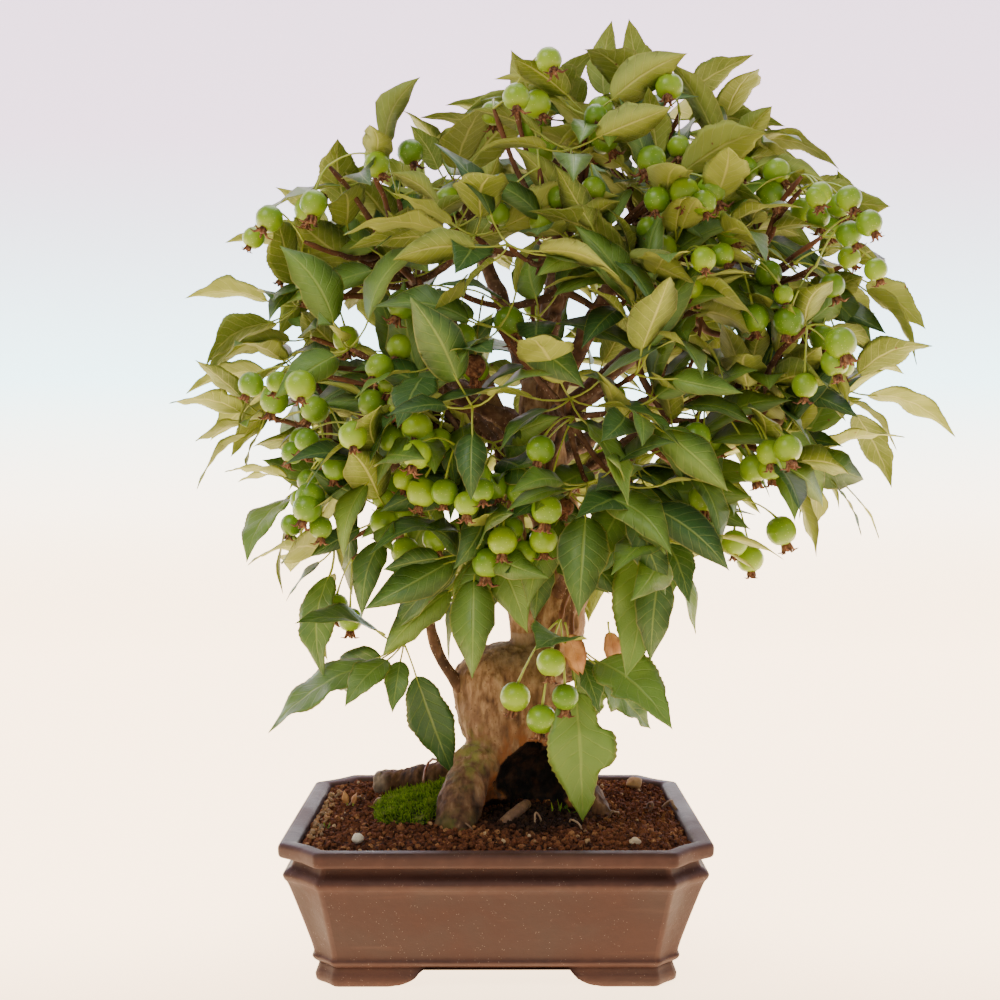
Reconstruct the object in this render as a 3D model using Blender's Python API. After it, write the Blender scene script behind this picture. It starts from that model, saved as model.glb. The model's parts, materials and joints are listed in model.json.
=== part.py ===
"""Crab apple bonsai in an unglazed stoneware pot: metres, +Z up, standing on Z = 0.

The pot, soil, moss, tree wood, leaf sprays, fruit clusters, drainage screens and their wire clips
are separate solids. Routes of roots and branches are drawn on a tree of unit size and scaled by
the driving dimensions, and every leaf and fruit is turned until it clears what is already there.
"""

import math
import random

import bmesh
import bpy
from mathutils import Matrix, Vector, noise
from mathutils.bvhtree import BVHTree

# Pot, outside.
POT_LENGTH = 0.2215
POT_DEPTH = 0.190
POT_HEIGHT = 0.0725
CORNER_CUT = 0.0215
RIM_HEIGHT = 0.008
RIM_WIDTH = 0.010
BODY_TAPER = 0.0138
FOOT_HEIGHT = 0.0092
FOOT_LENGTH = 0.0525
FOOT_CURVE = 0.021
WALL = 0.007
FLOOR = 0.0058

# Drainage.
DRAIN_RADIUS = 0.008
DRAIN_SPACING = 0.096
SCREEN_SIDE = 0.030
SCREEN_THICKNESS = 0.001
SCREEN_CELLS = 3
SCREEN_BAR = 0.0016
CLIP_WIRE = 0.0010
CLIP_RISE = 0.0022
CLIP_TAIL = 0.007

# Soil and what lies on it.
SOIL_DROP = 0.0050
SOIL_MOUND = 0.0080
MOSS_SIZE = (0.024, 0.036, 0.0105)
PEBBLE_SIZE = 0.0034

# Tree.
TREE_HEIGHT = 0.440
CROWN_SPREAD = 0.430
CROWN_DEPTH = 0.330
TRUNK_RADIUS = 0.0285
ROOT_DEPTH = 0.013
PIN_WIRE = 0.0016
TWIG_RADIUS = 0.0012
HUB_RADIUS = 0.0020
PETIOLE_RADIUS = 0.0006
PETIOLE_LENGTH = 0.019
LEAF_LENGTH = 0.052
LEAF_WIDTH = 0.025
LEAF_THICKNESS = 0.0008
LEAVES_PER_SPRAY = 6
PEDICEL_RADIUS = 0.0006
PEDICEL_LENGTH = 0.030
FRUIT_RADIUS = 0.0078
FRUITS_PER_CLUSTER = 4

GAP = 0.0003
UP = Vector((0, 0, 1))
SEED = 23

FLOOR_TOP = FOOT_HEIGHT + FLOOR
SOIL_EDGE = POT_HEIGHT - SOIL_DROP
SOIL_TOP = SOIL_EDGE + SOIL_MOUND

# Routes on a tree of unit size: x in half crown spreads, y in half crown depths, z in tree
# heights above the soil's edge. The radii, in metres, run evenly from the first to the second.
BRANCHES = {
    "leader": (0.0165, 0.0115, [(0.13, 0.02, 0.19), (0.16, 0.04, 0.26), (0.16, 0.05, 0.35),
                                (0.13, 0.04, 0.44), (0.12, 0.02, 0.52), (0.12, 0.01, 0.555)]),
    "stem_left": (0.0090, 0.0030, [(0.09, 0.00, 0.19), (0.06, -0.02, 0.30), (0.04, -0.01, 0.40),
                                   (0.01, 0.01, 0.50), (-0.07, 0.02, 0.59), (-0.20, 0.02, 0.67),
                                   (-0.29, 0.01, 0.72)]),
    "stem_right": (0.0085, 0.0030, [(0.16, 0.02, 0.25), (0.27, -0.04, 0.33), (0.40, -0.08, 0.40),
                                    (0.50, -0.11, 0.45), (0.65, -0.12, 0.49), (0.78, -0.09, 0.52)]),
    "low_shoot": (0.0032, 0.0020, [(-0.07, -0.03, 0.15), (-0.155, -0.06, 0.22), (-0.185, -0.07, 0.28),
                                   (-0.23, -0.06, 0.345), (-0.30, -0.05, 0.41), (-0.37, -0.02, 0.46)]),
    "top_left": (0.0060, 0.0026, [(0.12, 0.02, 0.52), (0.04, 0.07, 0.62), (-0.03, 0.10, 0.72),
                                  (-0.08, 0.08, 0.79)]),
    "top_middle": (0.0060, 0.0026, [(0.12, 0.02, 0.52), (0.14, 0.06, 0.64), (0.18, 0.07, 0.76),
                                    (0.18, 0.03, 0.83)]),
    "top_right": (0.0060, 0.0026, [(0.13, 0.02, 0.52), (0.23, -0.02, 0.61), (0.35, -0.05, 0.73),
                                   (0.41, -0.03, 0.82)]),
    "high_right": (0.0060, 0.0026, [(0.14, 0.02, 0.50), (0.33, 0.06, 0.58), (0.53, 0.09, 0.65),
                                    (0.73, 0.07, 0.69)]),
    "high_left": (0.0055, 0.0026, [(0.09, 0.01, 0.49), (-0.09, -0.04, 0.53), (-0.28, -0.05, 0.575)]),
    "middle_left": (0.0050, 0.0024, [(0.04, -0.01, 0.40), (-0.16, -0.04, 0.43), (-0.33, -0.02, 0.46),
                                     (-0.45, 0.00, 0.48)]),
    "back_left": (0.0055, 0.0026, [(0.09, 0.04, 0.49), (-0.05, 0.24, 0.54), (-0.21, 0.45, 0.59)]),
    "back_middle": (0.0055, 0.0026, [(0.13, 0.05, 0.48), (0.15, 0.33, 0.56), (0.15, 0.58, 0.61)]),
    "back_right": (0.0055, 0.0026, [(0.15, 0.05, 0.45), (0.33, 0.27, 0.51), (0.51, 0.45, 0.56)]),
    "back_low": (0.0050, 0.0024, [(0.16, 0.06, 0.34), (0.21, 0.30, 0.375), (0.27, 0.46, 0.40)]),
    "front_middle": (0.0055, 0.0026, [(0.13, 0.00, 0.48), (0.15, -0.24, 0.51), (0.17, -0.46, 0.505)]),
    "front_high": (0.0050, 0.0026, [(0.12, 0.00, 0.52), (0.14, -0.21, 0.62), (0.17, -0.33, 0.70)]),
    "front_left": (0.0050, 0.0024, [(0.08, 0.00, 0.44), (-0.02, -0.21, 0.49), (-0.14, -0.36, 0.52)]),
    "front_right": (0.0050, 0.0024, [(0.16, 0.01, 0.41), (0.28, -0.21, 0.46), (0.41, -0.39, 0.50)]),
    "front_low": (0.0045, 0.0024, [(0.16, 0.00, 0.28), (0.19, -0.18, 0.32), (0.21, -0.30, 0.31)]),
}

# Where each leaf spray grows on the same unit tree, and the tips of its foremost leaves.
SPRAYS = [
    ((0.27, 0.00, 0.880), [(0.30, 0.00, 1.010)]),
    ((0.41, 0.00, 0.890), [(0.34, -0.06, 1.005), (0.65, 0.00, 0.975)]),
    ((0.57, 0.00, 0.865), [(0.71, 0.05, 0.910), (0.89, -0.04, 0.850)]),
    ((0.72, 0.00, 0.795), [(0.94, 0.00, 0.795)]),
    ((0.90, 0.00, 0.700), [(1.13, 0.05, 0.630), (1.09, -0.12, 0.580)]),
    ((0.88, 0.00, 0.550), [(1.20, 0.00, 0.500), (1.03, -0.08, 0.470)]),
    ((0.79, 0.00, 0.465), [(1.02, 0.02, 0.365), (0.93, -0.15, 0.365)]),
    ((0.08, 0.00, 0.860), [(-0.06, 0.00, 0.915)]),
    ((-0.12, 0.00, 0.800), [(-0.22, -0.03, 0.875)]),
    ((-0.38, 0.00, 0.735), [(-0.57, 0.00, 0.800), (-0.71, 0.06, 0.735)]),
    ((-0.51, 0.00, 0.650), [(-0.80, 0.00, 0.670)]),
    ((-0.51, 0.03, 0.570), [(-0.785, 0.05, 0.570)]),
    ((-0.60, 0.00, 0.510), [(-0.855, 0.00, 0.525), (-0.81, -0.06, 0.445)]),
    ((-0.50, 0.03, 0.430), [(-0.63, 0.00, 0.352), (-0.68, 0.08, 0.440)]),
    ((-0.42, 0.00, 0.345), [(-0.55, 0.00, 0.277)]),
    ((-0.235, -0.09, 0.227), [(-0.58, -0.14, 0.120), (-0.39, -0.18, 0.155), (-0.26, -0.22, 0.150)]),
    ((0.345, -0.36, 0.406), [(0.30, -0.52, 0.205), (0.455, -0.54, 0.297), (0.50, -0.34, 0.250)]),
    ((0.185, -0.30, 0.240), [(0.215, -0.37, 0.026), (0.39, -0.24, 0.130), (0.25, -0.42, 0.160)]),
    ((0.17, -0.55, 0.520), [(0.00, -0.70, 0.470), (-0.18, -0.64, 0.520)]),
    ((0.36, -0.46, 0.660), [(0.10, -0.58, 0.640)]),
    ((0.50, -0.44, 0.720), [(0.74, -0.50, 0.660)]),
    ((-0.15, -0.44, 0.560), [(-0.33, -0.56, 0.530)]),
    ((-0.05, -0.42, 0.710), [(-0.24, -0.46, 0.760)]),
    ((0.40, -0.30, 0.780), [(0.36, -0.46, 0.880)]),
    ((-0.02, -0.30, 0.370), [(-0.08, -0.40, 0.250)]),
    ((-0.30, 0.45, 0.610), []),
    ((0.16, 0.68, 0.610), []),
    ((0.54, 0.52, 0.590), []),
    ((0.30, 0.50, 0.410), []),
    ((0.10, 0.40, 0.800), []),
]

# Where each fruit cluster grows and where its fruits hang.
CLUSTERS = [
    ((0.56, -0.38, 0.700), [(0.60, -0.48, 0.612), (0.645, -0.40, 0.668), (0.695, -0.45, 0.593)]),
    ((0.40, -0.40, 0.765), [(0.385, -0.50, 0.690), (0.45, -0.42, 0.735)]),
    ((0.19, -0.20, 0.855), [(0.255, -0.28, 0.868), (0.22, -0.30, 0.826), (0.11, -0.27, 0.820)]),
    ((0.68, -0.18, 0.820), [(0.61, -0.26, 0.800), (0.76, -0.20, 0.756), (0.82, -0.14, 0.728)]),
    ((0.82, -0.20, 0.635), [(0.855, -0.22, 0.568), (0.80, -0.27, 0.598)]),
    ((0.49, -0.44, 0.526), [(0.46, -0.54, 0.478), (0.48, -0.50, 0.409), (0.60, -0.48, 0.442), (0.66, -0.42, 0.446)]),
    ((0.59, -0.24, 0.405), [(0.62, -0.28, 0.335), (0.705, -0.22, 0.368), (0.575, -0.33, 0.355)]),
    ((0.18, -0.50, 0.500), [(0.115, -0.58, 0.396), (0.055, -0.50, 0.416), (0.10, -0.63, 0.462)]),
    ((0.155, -0.34, 0.265), [(0.13, -0.42, 0.218), (0.165, -0.38, 0.176), (0.11, -0.36, 0.150), (0.053, -0.36, 0.173)]),
    ((-0.37, -0.04, 0.330), [(-0.415, -0.02, 0.270), (-0.375, -0.08, 0.252)]),
    ((-0.10, -0.38, 0.650), [(-0.078, -0.50, 0.590), (-0.22, -0.44, 0.630), (0.03, -0.46, 0.610), (-0.05, -0.42, 0.558)]),
    ((-0.42, -0.10, 0.660), [(-0.375, -0.16, 0.602), (-0.53, -0.08, 0.690)]),
    ((-0.25, -0.06, 0.780), [(-0.30, -0.12, 0.828), (-0.225, -0.08, 0.834), (-0.12, -0.12, 0.772), (-0.42, -0.06, 0.800)]),
    ((-0.27, -0.32, 0.560), [(-0.295, -0.38, 0.518), (-0.245, -0.44, 0.476), (-0.195, -0.40, 0.450)]),
    ((-0.47, -0.10, 0.530), [(-0.485, -0.14, 0.478), (-0.44, -0.18, 0.465), (-0.495, -0.12, 0.404)]),
    ((-0.21, -0.28, 0.430), [(-0.27, -0.34, 0.380), (-0.22, -0.32, 0.345), (-0.145, -0.34, 0.360)]),
    ((0.03, -0.38, 0.410), [(-0.02, -0.42, 0.334), (0.015, -0.50, 0.360), (0.065, -0.44, 0.345)]),
]
CROWN_HEART = (0.13, 0.02, 0.47)
CROWN_OVAL = (0.17, 0.45, 1.00, 0.53)

# Surface roots: radii in trunk radii and routes in (right, back, up) trunk radii from the trunk's
# middle at the soil's edge. All but the sawn left one end under the soil.
ROOTS = {
    "root_left": (0.24, 0.26, [(-0.30, 0.20, 1.00), (-1.10, 0.62, 0.76), (-1.95, 1.05, 0.52),
                               (-2.68, 1.42, 0.36)]),
    "root_front": (0.50, 0.35, [(-0.35, -0.20, 1.30), (-0.75, -0.85, 1.00), (-0.98, -1.40, 0.52),
                                (-1.05, -1.72, -0.30)]),
    "root_right": (0.55, 0.25, [(0.50, 0.00, 1.05), (1.20, -0.25, 0.55), (1.65, -0.50, 0.15),
                                (1.85, -0.62, -0.30)]),
    "root_back": (0.55, 0.28, [(0.20, 0.30, 1.00), (0.45, 1.10, 0.50), (0.60, 1.60, 0.15),
                               (0.65, 1.85, -0.30)]),
    "root_stub": (0.16, 0.12, [(0.35, 0.00, 0.75), (0.12, -0.90, 0.48), (-0.33, -1.70, 0.12),
                               (-0.45, -1.95, -0.30)]),
}
TRUNK_MIDDLE = (0.008, 0.002)

# Trunk sections from the foot up: height, offset right, offset back, half width, half depth, all
# in trunk radii, and the last ones close the old saw cut over.
TRUNK_SECTIONS = [
    (-0.35, 0.00, 0.05, 0.95, 0.85), (0.20, 0.00, 0.05, 1.12, 0.95), (0.80, 0.00, 0.03, 1.02, 0.88),
    (1.35, 0.05, 0.00, 0.92, 0.86), (1.75, 0.02, 0.00, 0.98, 0.92), (2.25, 0.02, 0.00, 1.05, 0.97),
    (2.75, 0.04, 0.00, 1.05, 0.95), (3.10, 0.14, 0.02, 0.92, 0.82), (3.32, 0.30, 0.05, 0.68, 0.62),
]
HOLLOW_PLACE = (0.45, -0.95, 0.62)
HOLLOW_SIZE = (0.70, 0.62, 1.00)

PEBBLES = {
    "pebble_front_left": (-0.070, -0.066, 1.0), "pebble_front_right": (0.070, -0.068, 0.9),
    "pebble_back_right": (0.082, 0.052, 1.5),
}

FINISHES = {
    "stoneware": ((0.170, 0.082, 0.058, 1), 0.75), "soil": ((0.120, 0.040, 0.018, 1), 0.95),
    "moss": ((0.090, 0.170, 0.020, 1), 0.95), "bark": ((0.200, 0.115, 0.062, 1), 0.85),
    "leaf": ((0.120, 0.210, 0.045, 1), 0.55), "fruit": ((0.270, 0.420, 0.070, 1), 0.35),
    "screen_plastic": ((0.015, 0.015, 0.015, 1), 0.60), "clip_wire": ((0.350, 0.350, 0.360, 1), 0.35),
    "pin_wire": ((0.160, 0.050, 0.035, 1), 0.40), "stone": ((0.560, 0.480, 0.360, 1), 0.80),
}


def clear_scene():
    """Leaves an empty scene."""
    for obj in list(bpy.data.objects):
        bpy.data.objects.remove(obj)


def new_collection(name):
    """A collection in the scene."""
    collection = bpy.data.collections.new(name)
    bpy.context.scene.collection.children.link(collection)
    return collection


def finish(name):
    """The named finish as a Principled material, made once."""
    if name in bpy.data.materials:
        return bpy.data.materials[name]
    colour, roughness = FINISHES[name]
    made = bpy.data.materials.new(name)
    made.use_nodes = True
    shader = made.node_tree.nodes["Principled BSDF"]
    shader.inputs["Base Color"].default_value = colour
    shader.inputs["Roughness"].default_value = roughness
    shader.inputs["Metallic"].default_value = 1.0 if name == "clip_wire" else 0.0
    return made


def add_mesh(name, bm, finish_name, collection):
    """A mesh object from a bmesh, with its faces turned outwards."""
    bmesh.ops.recalc_face_normals(bm, faces=bm.faces)
    if bm.calc_volume(signed=True) < 0:
        bmesh.ops.reverse_faces(bm, faces=bm.faces)
    mesh = bpy.data.meshes.new(name)
    bm.to_mesh(mesh)
    bm.free()
    mesh.materials.append(finish(finish_name))
    obj = bpy.data.objects.new(name, mesh)
    collection.objects.link(obj)
    return obj


def hide(obj):
    """Makes an object a helper: not a part."""
    obj.hide_render = True
    obj.display_type = "WIRE"
    return obj


def loft(rings, start=None, end=None):
    """A closed skin over rings of equal count, ended by a point or by a flat face."""
    bm = bmesh.new()
    loops = [[bm.verts.new(point) for point in ring] for ring in rings]
    count = len(rings[0])
    for low, high in zip(loops, loops[1:]):
        for i in range(count):
            bm.faces.new((low[i], low[(i + 1) % count], high[(i + 1) % count], high[i]))
    for loop, apex in ((loops[0], start), (loops[-1], end)):
        if apex is None:
            bm.faces.new(loop)
            continue
        point = bm.verts.new(apex)
        for i in range(count):
            bm.faces.new((loop[i], loop[(i + 1) % count], point))
    bmesh.ops.recalc_face_normals(bm, faces=bm.faces)
    return bm


def tube(name, points, radii, finish_name, collection, resolution=1):
    """A round rod through points, as a welded mesh made from a bevelled curve."""
    curve = bpy.data.curves.new(name, "CURVE")
    curve.dimensions = "3D"
    curve.bevel_depth = 1.0
    curve.bevel_resolution = resolution
    curve.use_fill_caps = True
    spline = curve.splines.new("POLY")
    spline.points.add(len(points) - 1)
    for place, point, radius in zip(spline.points, points, radii):
        place.co = (*point, 1)
        place.radius = radius
    source = bpy.data.objects.new(name + "_path", curve)
    collection.objects.link(source)
    graph = bpy.context.evaluated_depsgraph_get()
    mesh = bpy.data.meshes.new_from_object(source.evaluated_get(graph))
    bpy.data.objects.remove(source)
    bm = bmesh.new()
    bm.from_mesh(mesh)
    bpy.data.meshes.remove(mesh)
    bmesh.ops.remove_doubles(bm, verts=bm.verts, dist=1e-6)
    return add_mesh(name, bm, finish_name, collection)


def baked(obj):
    """Applies the modifiers, so that the mesh is what they made."""
    graph = bpy.context.evaluated_depsgraph_get()
    mesh = bpy.data.meshes.new_from_object(obj.evaluated_get(graph))
    obj.modifiers.clear()
    obj.data = mesh
    return obj


def keep_largest(obj):
    """Drops the loose specks that a Boolean can leave beside or inside a solid."""
    bm = bmesh.new()
    bm.from_mesh(obj.data)
    left, islands = set(bm.verts), []
    while left:
        front = [left.pop()]
        island = list(front)
        while front:
            vert = front.pop()
            near = {edge.other_vert(vert) for edge in vert.link_edges} & left
            left -= near
            front += near
            island += near
        islands.append(island)
    islands.sort(key=len)
    for island in islands[:-1]:
        bmesh.ops.delete(bm, geom=island, context="VERTS")
    bm.to_mesh(obj.data)
    bm.free()


def combine(obj, others, operation, cutters):
    """Joins other solids to obj, or cuts them from it, and keeps them as helpers."""
    group = bpy.data.collections.new(obj.name + "_" + operation.lower())
    cutters.children.link(group)
    for other in others:
        for holder in list(other.users_collection):
            holder.objects.unlink(other)
        group.objects.link(hide(other))
    modifier = obj.modifiers.new(operation.title(), "BOOLEAN")
    modifier.operation = operation
    modifier.operand_type = "COLLECTION"
    modifier.collection = group
    baked(obj)
    for other in others:
        bpy.data.objects.remove(other)
    bpy.data.collections.remove(group)
    keep_largest(obj)
    return obj


def swollen(obj, by, collection):
    """A copy of a solid whose skin stands proud by a small distance."""
    bm = bmesh.new()
    bm.from_mesh(obj.data)
    bm.transform(obj.matrix_world)
    bmesh.ops.recalc_face_normals(bm, faces=bm.faces)
    bm.normal_update()
    moves = [vert.co + vert.normal * by * min(vert.calc_shell_factor(), 2.0) for vert in bm.verts]
    for vert, place in zip(bm.verts, moves):
        vert.co = place
    return add_mesh(obj.name + "_swollen", bm, "soil", collection)


def tree_of(obj):
    """The search tree of an object's faces, where it stands."""
    places = [obj.matrix_world @ vert.co for vert in obj.data.vertices]
    return BVHTree.FromPolygons(places, [tuple(face.vertices) for face in obj.data.polygons])


def pot_ring(inset, height):
    """The pot's outline with cut corners, drawn in by an inset, at a height."""
    side, end = POT_LENGTH / 2 - inset, POT_DEPTH / 2 - inset
    cut = max(CORNER_CUT - inset * (2 - math.sqrt(2)), 0.002)
    dip = cut * 0.06
    corner = [(side, end - cut), (side - cut / 2 - dip, end - cut / 2 - dip), (side - cut, end)]
    signs = ((1, 1, False), (-1, 1, True), (-1, -1, False), (1, -1, True))
    ring = []
    for across, back, turned in signs:
        run = [Vector((across * x, back * y, height)) for x, y in corner]
        ring += run[::-1] if turned else run
    return ring


def pot_profile():
    """(inset, height) down the outside from the floor's underside, over the rim and down inside."""
    top = POT_HEIGHT - RIM_HEIGHT
    bead = top - 0.0085
    waist = BODY_TAPER + 0.0040
    outside = [
        (waist + 0.0020, FOOT_HEIGHT), (waist - 0.0005, FOOT_HEIGHT + 0.0022), (waist - 0.0012, FOOT_HEIGHT + 0.0040),
        (waist, FOOT_HEIGHT + 0.0058), (0.0045, bead - 0.0040), (0.0030, bead - 0.0022), (0.0022, bead),
        (0.0030, bead + 0.0020), (0.0062, bead + 0.0040), (0.0070, top - 0.0015), (0.0062, top),
        (0.0012, top + 0.0004), (0.0002, top + 0.0018), (0.0, POT_HEIGHT - 0.0015), (0.0012, POT_HEIGHT),
    ]
    inside = [
        (0.0032, POT_HEIGHT - 0.0002), (RIM_WIDTH - 0.0015, POT_HEIGHT), (RIM_WIDTH, POT_HEIGHT - 0.0012),
        (max(RIM_WIDTH, WALL + 0.0045), top - 0.0060), (waist + WALL, FLOOR_TOP + 0.0020),
        (waist + WALL + 0.0020, FLOOR_TOP),
    ]
    return outside, inside


def arch_cutter(name, half_gap, reach, turned, collection):
    """A bar that clears the space between two feet: flat on top, with concave ends."""
    steps = 5
    outline = []
    for side in (1, -1):
        curve = []
        for i in range(steps + 1):
            angle = math.pi / 2 * i / steps
            across = half_gap + FOOT_CURVE * (1 - math.cos(angle))
            curve.append((side * across, (FOOT_HEIGHT - GAP) * (1 - math.sin(angle))))
        outline += curve if side == 1 else curve[::-1]
    low = [(x, z if z > GAP else -0.002) for x, z in outline]
    rings = [[Vector((x, y, z)) for x, z in low] for y in (-reach, reach)]
    bm = loft(rings)
    if turned:
        bm.transform(Matrix.Rotation(math.pi / 2, 4, "Z"))
    return add_mesh(name, bm, "stoneware", collection)


def make_pot(parts, cutters):
    """The pot: one fired piece with rim, groove, bead, four corner feet and drain holes."""
    outside, inside = pot_profile()
    pot = add_mesh("pot", loft([pot_ring(i, z) for i, z in outside + inside]), "stoneware", parts)
    inner = outside[0][0] + 0.014
    top, low = FOOT_HEIGHT + FLOOR / 2, FOOT_HEIGHT - 0.0015
    outer = outside[0][0]
    rings = [pot_ring(outer, top), pot_ring(outer, low), pot_ring(outer - 0.0018, 0.0035), pot_ring(outer, 0.0),
             pot_ring(inner, 0.0), pot_ring(inner, FOOT_HEIGHT + FLOOR / 3)]
    foot_ring = add_mesh("foot_ring", loft(rings), "stoneware", parts)
    arches = [
        arch_cutter("arch_long", POT_LENGTH / 2 - outer - FOOT_LENGTH, POT_DEPTH, False, parts),
        arch_cutter("arch_short", POT_DEPTH / 2 - outer - FOOT_LENGTH, POT_LENGTH, True, parts),
    ]
    combine(foot_ring, arches, "DIFFERENCE", cutters)
    combine(pot, [foot_ring], "UNION", cutters)
    drains = []
    for side in (-1, 1):
        bm = bmesh.new()
        bmesh.ops.create_cone(bm, cap_ends=True, segments=20, radius1=DRAIN_RADIUS, radius2=DRAIN_RADIUS,
                              depth=FLOOR * 3)
        bm.transform(Matrix.Translation((side * DRAIN_SPACING / 2, 0, FLOOR_TOP - FLOOR / 2)))
        drains.append(add_mesh("drain", bm, "stoneware", parts))
    return combine(pot, drains, "DIFFERENCE", cutters)


def make_screen(name, side, parts, cutters):
    """A square of plastic drainage mesh that lies over one drain hole."""
    centre = Vector((side * DRAIN_SPACING / 2, 0, FLOOR_TOP + GAP + SCREEN_THICKNESS / 2))
    bm = bmesh.new()
    bmesh.ops.create_cube(bm, size=1.0)
    bm.transform(Matrix.Translation(centre) @ Matrix.Diagonal((SCREEN_SIDE, SCREEN_SIDE, SCREEN_THICKNESS, 1)))
    screen = add_mesh(name, bm, "screen_plastic", parts)
    pitch = (SCREEN_SIDE - SCREEN_BAR) / SCREEN_CELLS
    hole = pitch - SCREEN_BAR
    holes = []
    for column in range(SCREEN_CELLS):
        for row in range(SCREEN_CELLS):
            offset = Vector((column - (SCREEN_CELLS - 1) / 2, row - (SCREEN_CELLS - 1) / 2, 0)) * pitch
            bm = bmesh.new()
            bmesh.ops.create_cube(bm, size=1.0)
            size = Matrix.Diagonal((hole, hole, SCREEN_THICKNESS * 4, 1))
            bm.transform(Matrix.Translation(centre + offset) @ size)
            holes.append(add_mesh("cell", bm, "screen_plastic", parts))
    return combine(screen, holes, "DIFFERENCE", cutters)


def make_clip(name, side, parts):
    """The wire that holds a screen down: over it, down through two cells and the drain, and out."""
    pitch = (SCREEN_SIDE - SCREEN_BAR) / SCREEN_CELLS
    leg = (pitch + SCREEN_BAR + CLIP_WIRE) / 2 + 2 * GAP
    tail = leg + CLIP_TAIL
    top = FLOOR_TOP + GAP + SCREEN_THICKNESS + GAP + CLIP_WIRE / 2
    under = FOOT_HEIGHT - GAP - CLIP_WIRE / 2 - 0.0004
    half = [(0.0, top + CLIP_RISE), (leg * 0.6, top + CLIP_RISE * 0.8), (leg, top + 0.0004),
            (leg, under + 0.0012), (leg + 0.0012, under), (tail, under)]
    run = [(-y, z) for y, z in half[:0:-1]] + half
    middle = side * DRAIN_SPACING / 2
    points = [Vector((middle, y, z)) for y, z in run]
    return tube(name, points, [CLIP_WIRE / 2] * len(points), "clip_wire", parts, resolution=0)


def crown_point(unit):
    """A point of the unit tree in metres."""
    return Vector((unit[0] * CROWN_SPREAD / 2, unit[1] * CROWN_DEPTH / 2, SOIL_EDGE + unit[2] * TREE_HEIGHT))


def trunk_point(unit):
    """A point given in trunk radii from the trunk's middle at the soil's edge."""
    middle = Vector((TRUNK_MIDDLE[0], TRUNK_MIDDLE[1], SOIL_EDGE))
    return middle + Vector(unit) * TRUNK_RADIUS


def trunk_rise():
    """How far the tree's height has lifted the trunk's top, against its sections."""
    return (BRANCHES["leader"][2][0][2] * TREE_HEIGHT) / (2.85 * TRUNK_RADIUS)


def make_trunk(parts):
    """The stout trunk: lumpy oval sections, closed over the old cut."""
    sides = 16
    rise = trunk_rise()
    rings = []
    for height, right, back, wide, deep in TRUNK_SECTIONS:
        z = height * rise if height > 1.35 else height
        middle = trunk_point((right, back, z))
        ring = []
        for i in range(sides):
            angle = 2 * math.pi * i / sides
            lump = 1 + 0.07 * noise.noise(Vector((math.cos(angle) * 1.3, math.sin(angle) * 1.3, height * 1.7)))
            ring.append(middle + Vector((math.cos(angle) * wide, math.sin(angle) * deep, 0)) * TRUNK_RADIUS * lump)
        rings.append(ring)
    return add_mesh("tree_wood", loft(rings), "bark", parts)


def stalk_rings(route, radii, sides):
    """Rings of a thin rod along a route, with a radius for each point."""
    rings = []
    for i, (point, radius) in enumerate(zip(route, radii)):
        way = (route[min(i + 1, len(route) - 1)] - route[max(i - 1, 0)]).normalized()
        turn = way.to_track_quat("Z", "Y")
        ring = []
        for k in range(sides):
            angle = 2 * math.pi * k / sides
            ring.append(point + turn @ Vector((math.cos(angle), math.sin(angle), 0)) * radius)
        rings.append(ring)
    return rings


def evenly(first, last, count):
    """Count numbers from first to last."""
    return [first + (last - first) * i / (count - 1) for i in range(count)]


def curved(points, steps):
    """A smooth route through points: a Catmull-Rom line with steps pieces between each two."""
    padded = [points[0] * 2 - points[1], *points, points[-1] * 2 - points[-2]]
    route = []
    for a, b, c, d in zip(padded, padded[1:], padded[2:], padded[3:]):
        for i in range(steps):
            t = i / steps
            route.append(0.5 * (2 * b + (c - a) * t + (2 * a - 5 * b + 4 * c - d) * t * t
                                + (3 * b - a - 3 * c + d) * t * t * t))
    return [*route, points[-1]]


def outward(place):
    """The way a shoot at this place heads: away from the crown's heart and a little up."""
    away = place - crown_point(CROWN_HEART)
    away.z *= 0.8
    return (away.normalized() + UP * 0.22).normalized()


def nearest_joint(target, joints):
    """The branch point that a twig to target grows from: near, and not further out than it."""
    heart = crown_point(CROWN_HEART)
    reach = (target - heart).length

    def cost(joint):
        place = joint[0]
        return (target - place).length + 0.6 * max(0.0, (place - heart).length - reach * 0.9)

    return min(joints, key=cost)


def twig_route(target, joints):
    """(points, radii) of the twig that ends at target, heading outward."""
    start, radius = nearest_joint(target, joints)
    heading = outward(target)
    span = (target - start).length
    bend = target - heading * span * 0.35
    middle = start.lerp(bend, 0.62) + UP * span * 0.04
    end = target - (target - middle).normalized() * (GAP * 1.6 + HUB_RADIUS)
    first = min(radius * 0.75, 0.0026)
    return [start, middle, end], evenly(first, TWIG_RADIUS, 3)


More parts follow.
